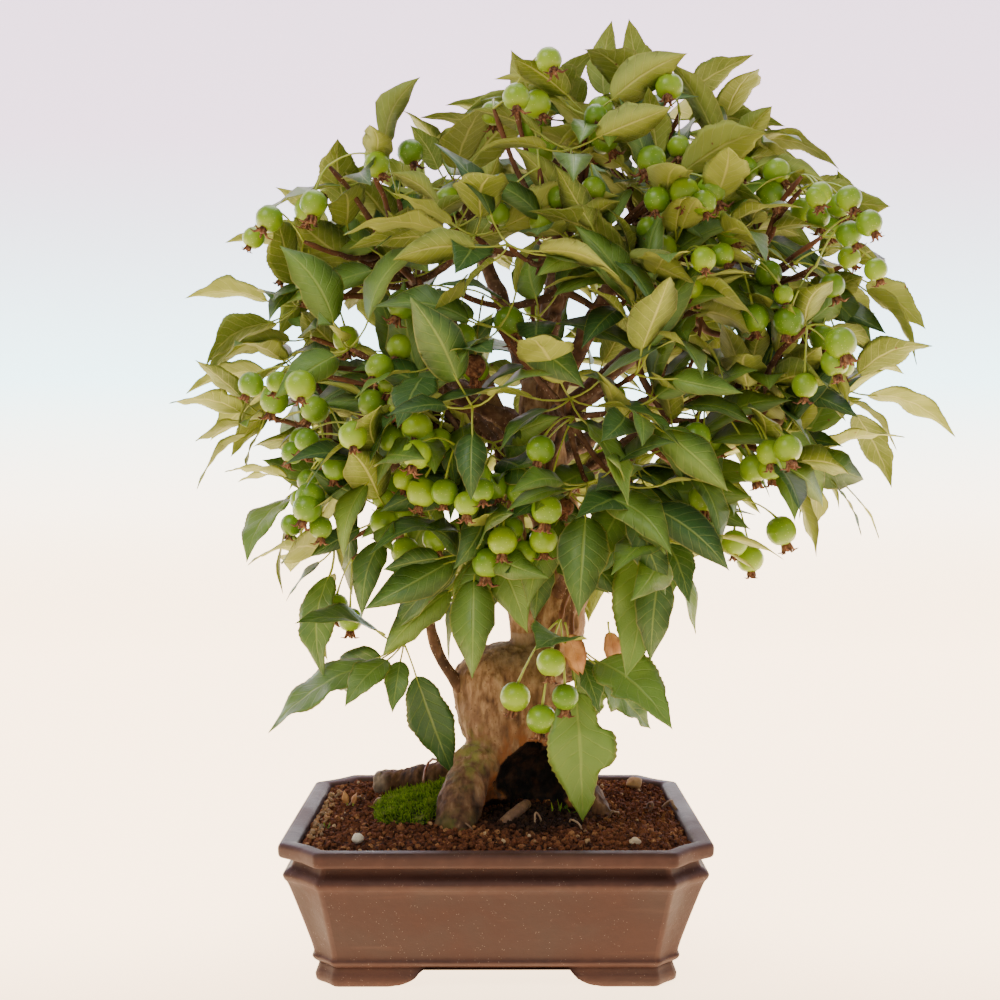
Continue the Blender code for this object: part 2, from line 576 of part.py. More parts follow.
def make_wood(parts, cutters):
    """Trunk, surface roots, branches and twigs as one grown piece. Returns it and the root part."""
    trunk = make_trunk(parts)
    roots = []
    for name, (first, last, route) in ROOTS.items():
        points = curved([trunk_point(p) for p in route], 2)
        if route[-1][2] < 0:
            points[-1].z = SOIL_EDGE - ROOT_DEPTH
        radii = [r * TRUNK_RADIUS for r in evenly(first, last, len(points))]
        roots.append(tube(name, points, radii, "bark", parts, resolution=2))
    combine(trunk, roots[:-1], "UNION", cutters)
    bm = bmesh.new()
    bmesh.ops.create_uvsphere(bm, u_segments=10, v_segments=7, radius=1.0)
    size = Matrix.Diagonal((*(s * TRUNK_RADIUS for s in HOLLOW_SIZE), 1))
    bm.transform(Matrix.Translation(trunk_point(HOLLOW_PLACE)) @ size)
    combine(trunk, [add_mesh("hollow", bm, "bark", parts)], "DIFFERENCE", cutters)
    combine(trunk, roots[-1:], "UNION", cutters)
    root_copy = trunk.copy()
    root_copy.data = trunk.data.copy()
    joints, limbs = [], []
    for name, (first, last, route) in BRANCHES.items():
        points = [crown_point(p) for p in route]
        radii = evenly(first, last, len(points))
        spots = curved(points, 3)
        spots[-1] = spots[-1].lerp(spots[-2], 0.4)
        joints += list(zip(spots, evenly(first, last, len(spots))))[4:]
        limbs.append(tube(name, points, radii, "bark", parts, resolution=2 if name == "leader" else 1))
    for i, (unit, _) in enumerate(SPRAYS + CLUSTERS):
        points, radii = twig_route(crown_point(unit), joints)
        limbs.append(add_mesh(f"twig_{i}", loft(stalk_rings(points, radii, 3)), "bark", parts))
    limb_trees = [tree_of(limb) for limb in limbs]
    combine(trunk, limbs, "UNION", cutters)
    return trunk, root_copy, [tree_of(root_copy), *limb_trees]


def soil_height(x, y):
    """The soil's surface: mounded to the tree, with a small unevenness."""
    side = abs(x) / (POT_LENGTH / 2 - RIM_WIDTH)
    end = abs(y) / (POT_DEPTH / 2 - RIM_WIDTH)
    fall = max(0.0, 1 - max(side, end) ** 2)
    uneven = 0.0012 * noise.noise(Vector((x * 60, y * 60, 0.3)))
    return SOIL_EDGE + SOIL_MOUND * fall ** 0.8 + uneven * min(1.0, 2 * fall)


def make_soil(parts):
    """The granular soil as one solid that fills the pot."""
    _, inside = pot_profile()
    wall = inside[3:]
    rings = [pot_ring(inset + GAP, height + (GAP if height <= FLOOR_TOP else 0)) for inset, height in wall[::-1]]
    rim_inset = wall[0][0] + GAP
    for share in (1.0, 0.86, 0.68, 0.46, 0.22):
        ring = []
        for point in pot_ring(rim_inset, 0):
            x, y = point.x * share, point.y * share
            ring.append(Vector((x, y, soil_height(x, y))))
        rings.append(ring)
    return add_mesh("soil", loft(rings, end=Vector((0, 0, soil_height(0, 0)))), "soil", parts)


def pin_route():
    """The wire staple over the left root: two legs into the soil and a bend over the root."""
    route = [trunk_point(p) for p in ROOTS["root_left"][2]]
    crest, along = route[1].lerp(route[2], 0.55), (route[2] - route[1]).normalized()
    across = along.cross(UP).normalized()
    first, last, _ = ROOTS["root_left"]
    radius = (first + (last - first) * 0.40) * TRUNK_RADIUS + PIN_WIRE / 2 + 0.0022
    points = []
    for i in range(7):
        angle = math.pi * i / 6
        points.append(crest + across * math.cos(angle) * radius + UP * math.sin(angle) * radius)
    foot = SOIL_EDGE - ROOT_DEPTH * 0.6
    legs = [Vector((p.x, p.y, foot)) for p in (points[0], points[-1])]
    return [legs[0], *points, legs[1]]


def make_moss(parts):
    """A cushion of moss before it is fitted to the soil and the roots."""
    bm = bmesh.new()
    bmesh.ops.create_uvsphere(bm, u_segments=14, v_segments=8, radius=1.0)
    for vert in bm.verts:
        vert.co *= 1 + 0.16 * noise.noise(vert.co * 1.9)
    place = trunk_point((-1.72, -0.42, 0))
    turn = Matrix.Rotation(math.radians(-14), 4, "Z")
    seat = Matrix.Translation((place.x, place.y, soil_height(place.x, place.y)))
    bm.transform(seat @ turn @ Matrix.Diagonal((*MOSS_SIZE, 1)))
    return add_mesh("moss", bm, "moss", parts)


def drop(obj, floors, step=0.0002):
    """Lowers an object until it would touch a floor, and leaves the gap."""
    while not any(tree_of(obj).overlap(floor) for floor in floors) and obj.location.z > 0:
        obj.location.z -= step
        bpy.context.view_layer.update()
    obj.location.z += step + GAP
    bpy.context.view_layer.update()


def make_pebble(name, x, y, size, parts, floors, rng):
    """One stone of the top dressing, lying on the soil."""
    bm = bmesh.new()
    bmesh.ops.create_icosphere(bm, subdivisions=1, radius=PEBBLE_SIZE * size)
    for vert in bm.verts:
        vert.co *= 1 + 0.3 * noise.noise(vert.co * 260 + Vector((x, y, 0)) * 90)
        vert.co.z *= 0.7
    bm.transform(Matrix.Rotation(rng.uniform(0, math.pi), 4, "Z"))
    obj = add_mesh(name, bm, "stone", parts)
    scale_x, scale_y = POT_LENGTH / 0.220, POT_DEPTH / 0.178
    obj.location = (x * scale_x, y * scale_y, SOIL_TOP + 3 * PEBBLE_SIZE)
    bpy.context.view_layer.update()
    drop(obj, floors)
    return obj


def section(centre, across, up, wide, deep, lift=0.0):
    """Three points around a centre: the flat top and the keel of a stalk or a blade."""
    top = centre + up * lift
    return [top + across * wide, centre - up * deep, top - across * wide]


def leaf_solid(hub, axis, normal, stalk, length, width, grow=0.0):
    """A leaf as one solid: its stalk, then a thin pointed blade with a keel, arched to its tip."""
    across = axis.cross(normal).normalized()
    base = hub + axis * stalk
    thin = PETIOLE_RADIUS + grow
    start = hub + axis * (HUB_RADIUS * (2.2 if grow else 0.3))
    rings = [section(start, across, normal, thin, thin, thin / 2), section(base, across, normal, thin, thin, thin / 2)]
    for share, spread in ((0.32, 1.0), (0.68, 0.78)):
        rise = 0.30 * length * share * (1 - share) - 0.06 * length * share ** 2
        rings.append(section(base + axis * length * share + normal * rise, across, normal,
                             width / 2 * spread + grow, LEAF_THICKNESS + grow, grow))
    tip = base + axis * (length + grow) - normal * 0.06 * length
    return loft(rings, end=tip)


def search_tree(*pieces):
    """One search tree over several bmeshes."""
    places, faces = [], []
    for bm in pieces:
        bm.verts.index_update()
        first = len(places)
        places += [vert.co.copy() for vert in bm.verts]
        faces += [tuple(first + vert.index for vert in face.verts) for face in bm.faces]
    return BVHTree.FromPolygons(places, faces)


def clear_of(candidate, trees):
    """Whether a candidate's search tree crosses none of the others."""
    return not any(candidate.overlap(other) for other in trees)


def fan_direction(heading, turn, spread, droop):
    """A direction at an angle from the heading, turned around it, and bent down by its weight."""
    side = heading.cross(UP)
    if side.length < 0.05:
        side = Vector((1, 0, 0))
    side.normalize()
    swung = Matrix.Rotation(spread, 3, side) @ heading
    way = Matrix.Rotation(turn, 3, heading) @ swung
    return (way - UP * droop).normalized()


def face_normal(axis, hub, heading, roll):
    """The way a leaf's upper side looks: to the light, turned about its midrib by roll.

    Low leaves tip their upper side to the nearer long side of the pot, and high leaves away from it.
    """
    rise = (hub.z - crown_point(CROWN_HEART).z) / (0.30 * TREE_HEIGHT)
    side = 1 if hub.y < 0.25 * CROWN_DEPTH / 2 else -1
    light = UP + heading * 0.45 + Vector((0, side, 0)) * 0.9 * max(-1.0, min(1.0, rise))
    normal = light - axis * light.dot(axis)
    if normal.length < 0.1:
        normal = heading - axis * heading.dot(axis)
    return Matrix.Rotation(roll, 3, axis) @ normal.normalized()


def leaf_plan(hub, heading, tip, index, attempt, rng):
    """(axis, normal, stalk, length, width) of one candidate leaf, aimed at tip if one is given."""
    if tip is None:
        turn = 2.399963 * index + rng.uniform(-0.5, 0.5) * (1 + attempt / 15)
        axis = fan_direction(heading, turn, math.radians(rng.uniform(30, 82)), rng.uniform(0.2, 0.55))
        stalk = PETIOLE_LENGTH * rng.uniform(0.75, 1.2) * 0.985 ** attempt
        length = LEAF_LENGTH * rng.uniform(0.82, 1.18) * 0.985 ** attempt
    else:
        jitter = 0.0006 * attempt
        aim = crown_point(tip) + Vector([rng.uniform(-jitter, jitter) for _ in range(3)])
        axis, span = (aim - hub).normalized(), (aim - hub).length
        stalk = max(min(PETIOLE_LENGTH, span * 0.28), span - LEAF_LENGTH * 1.3)
        length = span - stalk
    width = LEAF_WIDTH * (length / LEAF_LENGTH) ** 0.8 * rng.uniform(0.92, 1.08)
    roll = math.radians(rng.uniform(-28, 28)) * (1 if tip is None else 0.5)
    return axis, face_normal(axis, hub, heading, roll), stalk, length, width


def in_crown(point):
    """Whether a leaf's tip stays inside the crown's oval, seen from the front."""
    right, up, half_width, half_height = CROWN_OVAL
    across = (point.x / (CROWN_SPREAD / 2) - right) / half_width
    rise = ((point.z - SOIL_EDGE) / TREE_HEIGHT - up) / half_height
    return across ** 2 + rise ** 2 <= 1.0


def hub_ball(hub):
    """The small bud base that a spray's stalks grow from."""
    bm = bmesh.new()
    bmesh.ops.create_icosphere(bm, subdivisions=1, radius=HUB_RADIUS)
    bm.transform(Matrix.Translation(hub))
    return bm


def make_spray(name, plan, blocked, parts, cutters, rng):
    """A rosette of leaves on one bud. Each leaf is turned until it clears what is there."""
    unit, tips = plan
    hub = crown_point(unit)
    heading = outward(hub)
    spray = add_mesh(name, hub_ball(hub), "leaf", parts)
    kept, solids = [], []
    for i in range(LEAVES_PER_SPRAY):
        tip = tips[i] if i < len(tips) else None
        for attempt in range(60):
            pose = leaf_plan(hub, heading, tip, i, attempt, rng)
            if tip is None and not in_crown(hub + pose[0] * (pose[2] + pose[3])):
                continue
            guard = leaf_solid(hub, *pose, grow=0.0006)
            guard_tree = search_tree(guard)
            guard.free()
            if clear_of(guard_tree, blocked) and clear_of(guard_tree, kept):
                kept.append(guard_tree)
                solids.append(add_mesh(f"{name}_leaf", leaf_solid(hub, *pose), "leaf", parts))
                break
    combine(spray, solids, "UNION", cutters)
    blocked.append(tree_of(spray))
    return spray


def fruit_plan(hub, centre, radius):
    """(route, centre, hang) of a fruit: its stalk rises a little, bends over and carries it."""
    back = (UP * 0.9 + (hub - centre).normalized() * 0.5).normalized()
    top = centre + back * radius * 0.8
    span = (top - hub).length
    middle = hub.lerp(top, 0.5) + UP * span * 0.12
    return [hub, middle, top], -back


def make_cluster(name, plan, blocked, parts, cutters, rng):
    """A bunch of fruits on long stalks from one bud."""
    unit, places = plan
    hub = crown_point(unit)
    cluster = add_mesh(name, hub_ball(hub), "fruit", parts)
    kept, solids = [], []
    for place in places:
        for attempt in range(60):
            jitter = 0.0006 * attempt
            centre = crown_point(place) + Vector([rng.uniform(-jitter, jitter) for _ in range(3)])
            radius = FRUIT_RADIUS * rng.uniform(0.86, 1.06) * 0.99 ** attempt
            route, hang = fruit_plan(hub, centre, radius)
            guard = bmesh.new()
            bmesh.ops.create_icosphere(guard, subdivisions=2, radius=radius + 0.0008)
            guard.transform(Matrix.Translation(centre))
            clear_start = hub + (route[1] - hub).normalized() * HUB_RADIUS * 2.2
            stalk = loft(stalk_rings([clear_start, route[1], route[2]], [PEDICEL_RADIUS + 0.0006] * 3, 4))
            trees = search_tree(guard), search_tree(stalk)
            guard.free()
            stalk.free()
            own = all(clear_of(tree, [k for pair in kept for k in pair]) for tree in trees)
            if own and all(clear_of(tree, blocked) for tree in trees):
                kept.append(trees)
                ball = bmesh.new()
                bmesh.ops.create_uvsphere(ball, u_segments=6, v_segments=4, radius=radius)
                aim = hang.to_track_quat("Z", "Y").to_matrix().to_4x4()
                ball.transform(Matrix.Translation(centre) @ aim)
                solids.append(add_mesh(f"{name}_fruit", ball, "fruit", parts))
                rod = loft(stalk_rings([hub, route[1], route[2]], [PEDICEL_RADIUS] * 3, 3))
                solids.append(add_mesh(f"{name}_stalk", rod, "fruit", parts))
                break
    combine(cluster, solids, "UNION", cutters)
    blocked.append(tree_of(cluster))
    return cluster


def smooth(obj, angle=40):
    """Smooth shading with the real edges kept sharp."""
    obj.data.shade_smooth()
    obj.data.set_sharp_from_angle(angle=math.radians(angle))


def stand(parts):
    """Parents every part to one empty and puts the object's box over the origin."""
    bpy.context.view_layer.update()
    corners = [obj.matrix_world @ Vector(corner) for obj in parts.objects for corner in obj.bound_box]
    low = Vector([min(c[k] for c in corners) for k in range(3)])
    high = Vector([max(c[k] for c in corners) for k in range(3)])
    base = bpy.data.objects.new("bonsai_base", None)
    parts.objects.link(base)
    for obj in list(parts.objects):
        if obj is not base:
            obj.parent = base
    base.location = (-(low.x + high.x) / 2, -(low.y + high.y) / 2, -low.z)
    bpy.context.view_layer.update()


def main():
    """Builds the bonsai from the pot up."""
    clear_scene()
    parts, cutters = new_collection("crabapple_bonsai"), new_collection("cutters")
    rng = random.Random(SEED)
    make_pot(parts, cutters)
    screens = [make_screen(f"drain_screen_{word}", side, parts, cutters) for side, word in ((-1, "left"), (1, "right"))]
    clips = [make_clip(f"screen_clip_{word}", side, parts) for side, word in ((-1, "left"), (1, "right"))]
    wood, roots, wood_trees = make_wood(parts, cutters)
    soil = make_soil(parts)
    pin_line = pin_route()
    pin = tube("root_pin", pin_line, [PIN_WIRE / 2] * len(pin_line), "pin_wire", parts, resolution=1)
    soil_cuts = [swollen(roots, GAP * 1.6, parts), swollen(pin, GAP * 1.5, parts)]
    for screen in screens:
        bm = bmesh.new()
        bmesh.ops.create_cube(bm, size=1.0)
        height = SCREEN_THICKNESS + 2 * GAP + CLIP_WIRE + CLIP_RISE + 4 * GAP
        centre = sum((Vector(c) for c in screen.bound_box), Vector()) / 8
        place = Vector((centre.x, centre.y, FLOOR_TOP + height / 2 - GAP))
        size = SCREEN_SIDE + 2 * GAP
        bm.transform(Matrix.Translation(place) @ Matrix.Diagonal((size, size, height + 2 * GAP, 1)))
        soil_cuts.append(add_mesh("screen_room", bm, "soil", parts))
    combine(soil, soil_cuts, "DIFFERENCE", cutters)
    moss = make_moss(parts)
    moss_cuts = [swollen(soil, GAP * 1.6, parts), swollen(roots, GAP * 2.0, parts), swollen(pin, GAP * 1.5, parts)]
    for cut in [*moss_cuts, roots]:
        combine(moss, [cut], "DIFFERENCE", cutters)
    floors = [tree_of(soil), tree_of(moss)]
    for name, (x, y, size) in PEBBLES.items():
        make_pebble(name, x, y, size, parts, floors, rng)
    blocked = [*wood_trees, tree_of(pin), *floors]
    for i, plan in enumerate(CLUSTERS):
        make_cluster(f"fruit_cluster_{i + 1:02d}", plan, blocked, parts, cutters, rng)
    for i, plan in enumerate(SPRAYS):
        make_spray(f"leaf_spray_{i + 1:02d}", plan, blocked, parts, cutters, rng)
    for obj in parts.objects:
        smooth(obj)
    stand(parts)


main()
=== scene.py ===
"""Looks of a crab apple bonsai in a footed stoneware pot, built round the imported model.

Metres, +Z up, -Y towards the viewer. The tree is laid out in two local rulers that hang on the
pot's middle: the crown's (half spreads, half depths, heights above the soil's edge) and the
trunk's (trunk radii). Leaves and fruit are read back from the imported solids, so each detailed one
lies where its solid does, and seeded growth rules fill the crown between them.
"""

import json
import logging
import math
from dataclasses import dataclass, field
from enum import Enum

import bpy
import numpy as np
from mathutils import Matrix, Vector

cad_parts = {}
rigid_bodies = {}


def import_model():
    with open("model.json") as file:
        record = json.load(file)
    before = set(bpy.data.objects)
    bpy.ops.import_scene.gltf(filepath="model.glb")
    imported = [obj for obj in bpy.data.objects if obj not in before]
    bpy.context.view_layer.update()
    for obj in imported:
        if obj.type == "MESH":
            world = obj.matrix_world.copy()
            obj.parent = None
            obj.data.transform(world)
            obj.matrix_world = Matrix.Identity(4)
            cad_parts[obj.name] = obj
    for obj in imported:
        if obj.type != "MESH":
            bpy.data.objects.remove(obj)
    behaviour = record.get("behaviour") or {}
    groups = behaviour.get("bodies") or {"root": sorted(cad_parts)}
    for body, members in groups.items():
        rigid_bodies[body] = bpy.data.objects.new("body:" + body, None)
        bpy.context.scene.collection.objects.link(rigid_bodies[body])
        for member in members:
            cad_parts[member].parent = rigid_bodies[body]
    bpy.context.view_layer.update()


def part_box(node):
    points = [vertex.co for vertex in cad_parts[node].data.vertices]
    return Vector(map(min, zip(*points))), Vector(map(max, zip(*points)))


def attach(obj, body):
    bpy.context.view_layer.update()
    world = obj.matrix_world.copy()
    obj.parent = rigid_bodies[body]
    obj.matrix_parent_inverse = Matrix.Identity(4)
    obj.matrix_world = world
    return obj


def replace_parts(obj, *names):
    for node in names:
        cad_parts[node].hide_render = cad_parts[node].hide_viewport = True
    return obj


Array = np.ndarray
Socket = bpy.types.NodeSocket
Material = bpy.types.Material
Object = bpy.types.Object
Node = bpy.types.Node
Random = np.random.Generator
Colour = tuple[float, float, float]
Point = tuple[float, float, float]
Route = tuple[Point, ...]
Branch = tuple[float, float, Route]
PRIMES = tuple(np.uint64(prime) for prime in (374761393, 668265263, 2246822519, 3266489917))
LOW_BITS = np.uint64(0xFFFFFFFF)
HALF_RANGE = 2147483647.5
UP = np.array([0.0, 0.0, 1.0])
GOLDEN_ANGLE = 2.399963
log = logging.getLogger("bonsai")


# ---- arrays and noise


def unit(vectors: Array) -> Array:
    """Vectors scaled to length one along the last axis."""
    return vectors / np.maximum(np.linalg.norm(vectors, axis=-1, keepdims=True), 1e-12)


def smoothstep(low: float, high: float, value: Array) -> Array:
    """3s^2 - 2s^3 of the share s that value has between low and high."""
    share = np.clip((value - low) / (high - low), 0.0, 1.0)
    return share * share * (3 - 2 * share)


def hashed(cells: Array, seed: int) -> Array:
    """A repeatable number from -1 to 1 for each whole-numbered cell.

    Args:
        cells: whole numbers, three to a cell along the last axis.
        seed: which of the many patterns.

    Returns:
        One number for each cell: the cell's coordinates multiplied by primes and mixed by shifts.
    """
    x, y, z = np.moveaxis(cells.astype(np.int64).astype(np.uint64) & LOW_BITS, -1, 0)
    mixed = (x * PRIMES[0] + y * PRIMES[1]) & LOW_BITS
    mixed = (mixed + z * PRIMES[2] + np.uint64(seed * 97 + 13) * PRIMES[3]) & LOW_BITS
    for shift, prime in ((15, PRIMES[2]), (13, PRIMES[3])):
        mixed = ((mixed ^ (mixed >> np.uint64(shift))) * prime) & LOW_BITS
    return (mixed ^ (mixed >> np.uint64(16))).astype(np.float64) / HALF_RANGE - 1.0


def soft_noise(points: Array, seed: int = 0) -> Array:
    """Smooth noise from -1 to 1.

    Args:
        points: places along the last axis, in cells.
        seed: which of the many patterns.

    Returns:
        One number for each point: its cell's eight hashed corners, blended by 6t^5 - 15t^4 + 10t^3.
    """
    cell = np.floor(points)
    share = points - cell
    share = share**3 * (share * (share * 6 - 15) + 10)
    total = np.zeros(points.shape[:-1])
    for corner in range(8):
        step = np.array([corner & 1, corner >> 1 & 1, corner >> 2 & 1])
        total += np.prod(np.where(step, share, 1 - share), axis=-1) * hashed(cell + step, seed)
    return total


def rough_noise(points: Array, octaves: int, seed: int = 0) -> Array:
    """Octaves of soft noise, each twice as fine and half as strong as the one before."""
    layers = [soft_noise(points * 2.0**i + i * 11.3, seed + i) * 0.5**i for i in range(octaves)]
    return np.sum(layers, axis=0) / (2 - 0.5 ** (octaves - 1))


def smooth_path(points: Array, count: int) -> Array:
    """A Catmull-Rom line through points, sampled evenly in its parameter.

    Args:
        points: shape (k, d), the points it goes through.
        count: how many samples.

    Returns:
        Shape (count, d).
    """
    padded = np.vstack([2 * points[0] - points[1], points, 2 * points[-1] - points[-2]])
    place = np.linspace(0, len(points) - 1, count)
    i = np.minimum(place.astype(int), len(points) - 2)
    t = (place - i)[:, None]
    a, b, c, d = (padded[i + k] for k in range(4))
    bends = (2 * a - 5 * b + 4 * c - d) * t**2 + (3 * b - a - 3 * c + d) * t**3
    return 0.5 * (2 * b + (c - a) * t + bends)


def arc(first: Array, guide: Array, last: Array, t: Array) -> Array:
    """The Bezier arc (1-t)^2 first + 2t(1-t) guide + t^2 last."""
    return (1 - t) ** 2 * first + 2 * t * (1 - t) * guide + t**2 * last


def circle(count: int) -> tuple[Array, Array]:
    """Cosines and sines of evenly spaced angles."""
    angle = np.linspace(0, 2 * np.pi, count, endpoint=False)
    return np.cos(angle), np.sin(angle)


def wander(paths: Array, cells: float, seeds: Array) -> Array:
    """Soft noise along three axes, one seed to an axis, with so many cells to a metre."""
    return np.stack([soft_noise(paths * cells, seed) for seed in seeds], -1)


def square_to(axis: Array, wanted: Array) -> Array:
    """The direction nearest to the wanted one that is square to the axis."""
    return unit(wanted - axis * np.sum(wanted * axis, axis=-1, keepdims=True))


def carried_frames(paths: Array) -> tuple[Array, Array]:
    """Two directions square to each path that turn as little as they can along it.

    Args:
        paths: shape (n, m, 3).

    Returns:
        Two arrays of shape (n, m, 3). Each is the last one with its part along the path taken out.
    """
    ways = unit(np.gradient(paths, axis=1))
    helper = np.where(np.abs(ways[:, :1, 2:3]) > 0.9, np.array([1.0, 0, 0]), UP)
    side = unit(np.cross(ways[:, 0], helper[:, 0]))
    sides = [side]
    for j in range(1, paths.shape[1]):
        way = ways[:, j]
        side = unit(side - way * np.sum(side * way, axis=-1, keepdims=True))
        sides.append(side)
    first = np.stack(sides, axis=1)
    return first, np.cross(ways, first)


# ---- meshes


@dataclass
class Skin:
    """Closed surfaces as arrays: vertices, faces, a UV for each corner and numbers for each vertex."""

    verts: Array
    quads: Array
    tris: Array
    quad_uv: Array
    tri_uv: Array
    marks: dict[str, Array]

    def volume(self) -> float:
        """The signed volume inside.

        Returns:
            A sixth of the sum of the triangles' triple products.
        """
        tris = np.vstack([self.quads[:, [0, 1, 2]], self.quads[:, [0, 2, 3]], self.tris])
        a, b, c = (self.verts[tris[:, i]] for i in range(3))
        return float(np.sum(np.cross(a, b) * c) / 6)

    def outward(self) -> "Skin":
        """Turns the faces outwards.

        Returns:
            The skin itself.
        """
        if self.volume() < 0:
            for key in ("quads", "tris", "quad_uv", "tri_uv"):
                setattr(self, key, getattr(self, key)[:, ::-1].copy())
        return self

    def build(self, name: str, finish: Material, slot: str, smooth: bool = True) -> Object:
        """Makes the mesh object, which rides on the one body.

        Args:
            name: the piece's name.
            finish: its material.
            slot: the record's material slot; not used.
            smooth: whether shading is smooth.

        Returns:
            The object, at the origin.
        """
        mesh = bpy.data.meshes.new(name)
        corners = np.concatenate([self.quads.ravel(), self.tris.ravel()]).astype(np.int32)
        sizes = np.concatenate([np.full(len(self.quads), 4), np.full(len(self.tris), 3)])
        mesh.vertices.add(len(self.verts))
        mesh.vertices.foreach_set("co", self.verts.astype(np.float32).ravel())
        mesh.loops.add(len(corners))
        mesh.loops.foreach_set("vertex_index", corners)
        mesh.polygons.add(len(sizes))
        mesh.polygons.foreach_set("loop_start", (np.cumsum(sizes) - sizes).astype(np.int32))
        mesh.polygons.foreach_set("use_smooth", np.full(len(sizes), smooth))
        layer = mesh.uv_layers.new(name="UVMap")
        uvs = np.vstack([self.quad_uv.reshape(-1, 2), self.tri_uv.reshape(-1, 2)])
        layer.data.foreach_set("uv", uvs.astype(np.float32).ravel())
        for key, values in self.marks.items():
            attribute = mesh.attributes.new(key, "FLOAT", "POINT")
            attribute.data.foreach_set("value", values.astype(np.float32))
        mesh.update(calc_edges=True)
        mesh.validate()
        mesh.materials.append(finish)
        return adopt(bpy.data.objects.new(name, mesh))


def adopt(piece: Object) -> Object:
    """Puts a new piece in the scene, on the one body, and reports it.

    Args:
        piece: the new object.

    Returns:
        The same object.
    """
    bpy.context.scene.collection.objects.link(piece)
    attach(piece, "root")
    log.info("%s: %d faces", piece.name, len(piece.data.polygons))
    return piece


def wrapped(rings: Array, start: Array, end: Array, along: Array | None = None, **marks: Array) -> Skin:
    """Closed skins over n stacks of rings, each ended by two points.

    Args:
        rings: shape (n, r, c, 3): r rings of c vertices each.
        start: shape (n, 3), the point before the first ring.
        end: shape (n, 3), the point after the last ring.
        along: shape (r,), the V of each ring; the ends have 0 and 1. Evenly spaced if left out.
        **marks: numbers for the material, of shape (n,) or (n, r, c).

    Returns:
        The skins as one. U runs round from 0 to 1, and V from start to end.
    """
    n, r, c, _ = rings.shape
    base = (np.arange(n) * (r * c + 2))[:, None, None]
    grid = base + (np.arange(r) * c)[None, :, None] + np.arange(c)[None, None, :]
    turned = np.roll(grid, -1, axis=2)
    quads = np.stack([grid[:, :-1], turned[:, :-1], turned[:, 1:], grid[:, 1:]], axis=-1).reshape(-1, 4)
    first = np.broadcast_to(base[:, 0] + r * c, (n, c))
    last = first + 1
    tris = np.stack([first, turned[:, 0], grid[:, 0]], axis=-1).reshape(-1, 3)
    tris = np.vstack([tris, np.stack([last, grid[:, -1], turned[:, -1]], axis=-1).reshape(-1, 3)])
    v = np.linspace(0, 1, r + 2)[1:-1] if along is None else along
    u = np.arange(c) / c
    step = 1 / c
    corners = np.stack([u, u + step, u + step, u], -1)
    levels = np.stack([v[:-1], v[:-1], v[1:], v[1:]], -1)[:, None]
    square = np.stack(np.broadcast_arrays(corners, levels), -1).reshape(-1, 4, 2)
    caps = []
    for tip, level, (left, right) in ((0.0, v[0], (step, 0.0)), (1.0, v[-1], (0.0, step))):
        across = np.stack([u + step / 2, u + left, u + right], -1)
        caps.append(np.stack(np.broadcast_arrays(across, np.array([tip, level, level])), -1))
    verts = np.concatenate([rings.reshape(n, -1, 3), start[:, None], end[:, None]], axis=1).reshape(-1, 3)
    numbers = {}
    for key, value in marks.items():
        value = np.asarray(value, float)
        full = np.broadcast_to(value.reshape(value.shape + (1,) * (3 - value.ndim)), (n, r, c))
        ends = np.stack([full[:, 0].mean(1), full[:, -1].mean(1)], axis=1)
        numbers[key] = np.concatenate([full.reshape(n, -1), ends], axis=1).ravel()
    tri_uv = np.vstack([np.tile(cap, (n, 1, 1)) for cap in caps])
    return Skin(verts, quads, tris, np.tile(square, (n, 1, 1)), tri_uv, numbers).outward()


def joined(*skins: Skin) -> Skin:
    """Several skins as one.

    Args:
        *skins: the skins.

    Returns:
        One skin. A mark that one of them lacks is 0 on it.
    """
    keys = sorted({key for skin in skins for key in skin.marks})
    shifts = np.cumsum([0] + [len(skin.verts) for skin in skins[:-1]])
    marks = {k: np.concatenate([s.marks.get(k, np.zeros(len(s.verts))) for s in skins]) for k in keys}
    return Skin(
        np.vstack([s.verts for s in skins]),
        np.vstack([s.quads + shift for s, shift in zip(skins, shifts)]),
        np.vstack([s.tris + shift for s, shift in zip(skins, shifts)]),
        np.vstack([s.quad_uv for s in skins]), np.vstack([s.tri_uv for s in skins]), marks)


def rods(paths: Array, radii: Array, sides: int, lumps: float = 0.0, **marks: Array) -> Skin:
    """Round rods along paths: each ring's point is path + radius (cos a . side + sin a . other side).

    Args:
        paths: shape (n, m, 3).
        radii: shape (n, m).
        sides: points to a ring.
        lumps: how far noise swells the radius, as a share of it.
        **marks: numbers for the material, of shape (n,) or (n, m, sides).

    Returns:
        The rods, with ends rounded off by a point half a radius further on.
    """
    first, second = carried_frames(paths)
    cosine, sine = circle(sides)
    spoke = first[:, :, None] * cosine[:, None] + second[:, :, None] * sine[:, None]
    reach = np.broadcast_to(radii[:, :, None], spoke.shape[:3]).copy()
    if lumps:
        near = paths[:, :, None] + spoke * reach[..., None]
        reach *= 1 + lumps * rough_noise(near * 260, 3, 5)
    rings = paths[:, :, None] + spoke * reach[..., None]
    start = paths[:, 0] - unit(paths[:, 1] - paths[:, 0]) * radii[:, :1] * 0.5
    end = paths[:, -1] + unit(paths[:, -1] - paths[:, -2]) * radii[:, -1:] * 0.5
    return wrapped(rings, start, end, **marks)


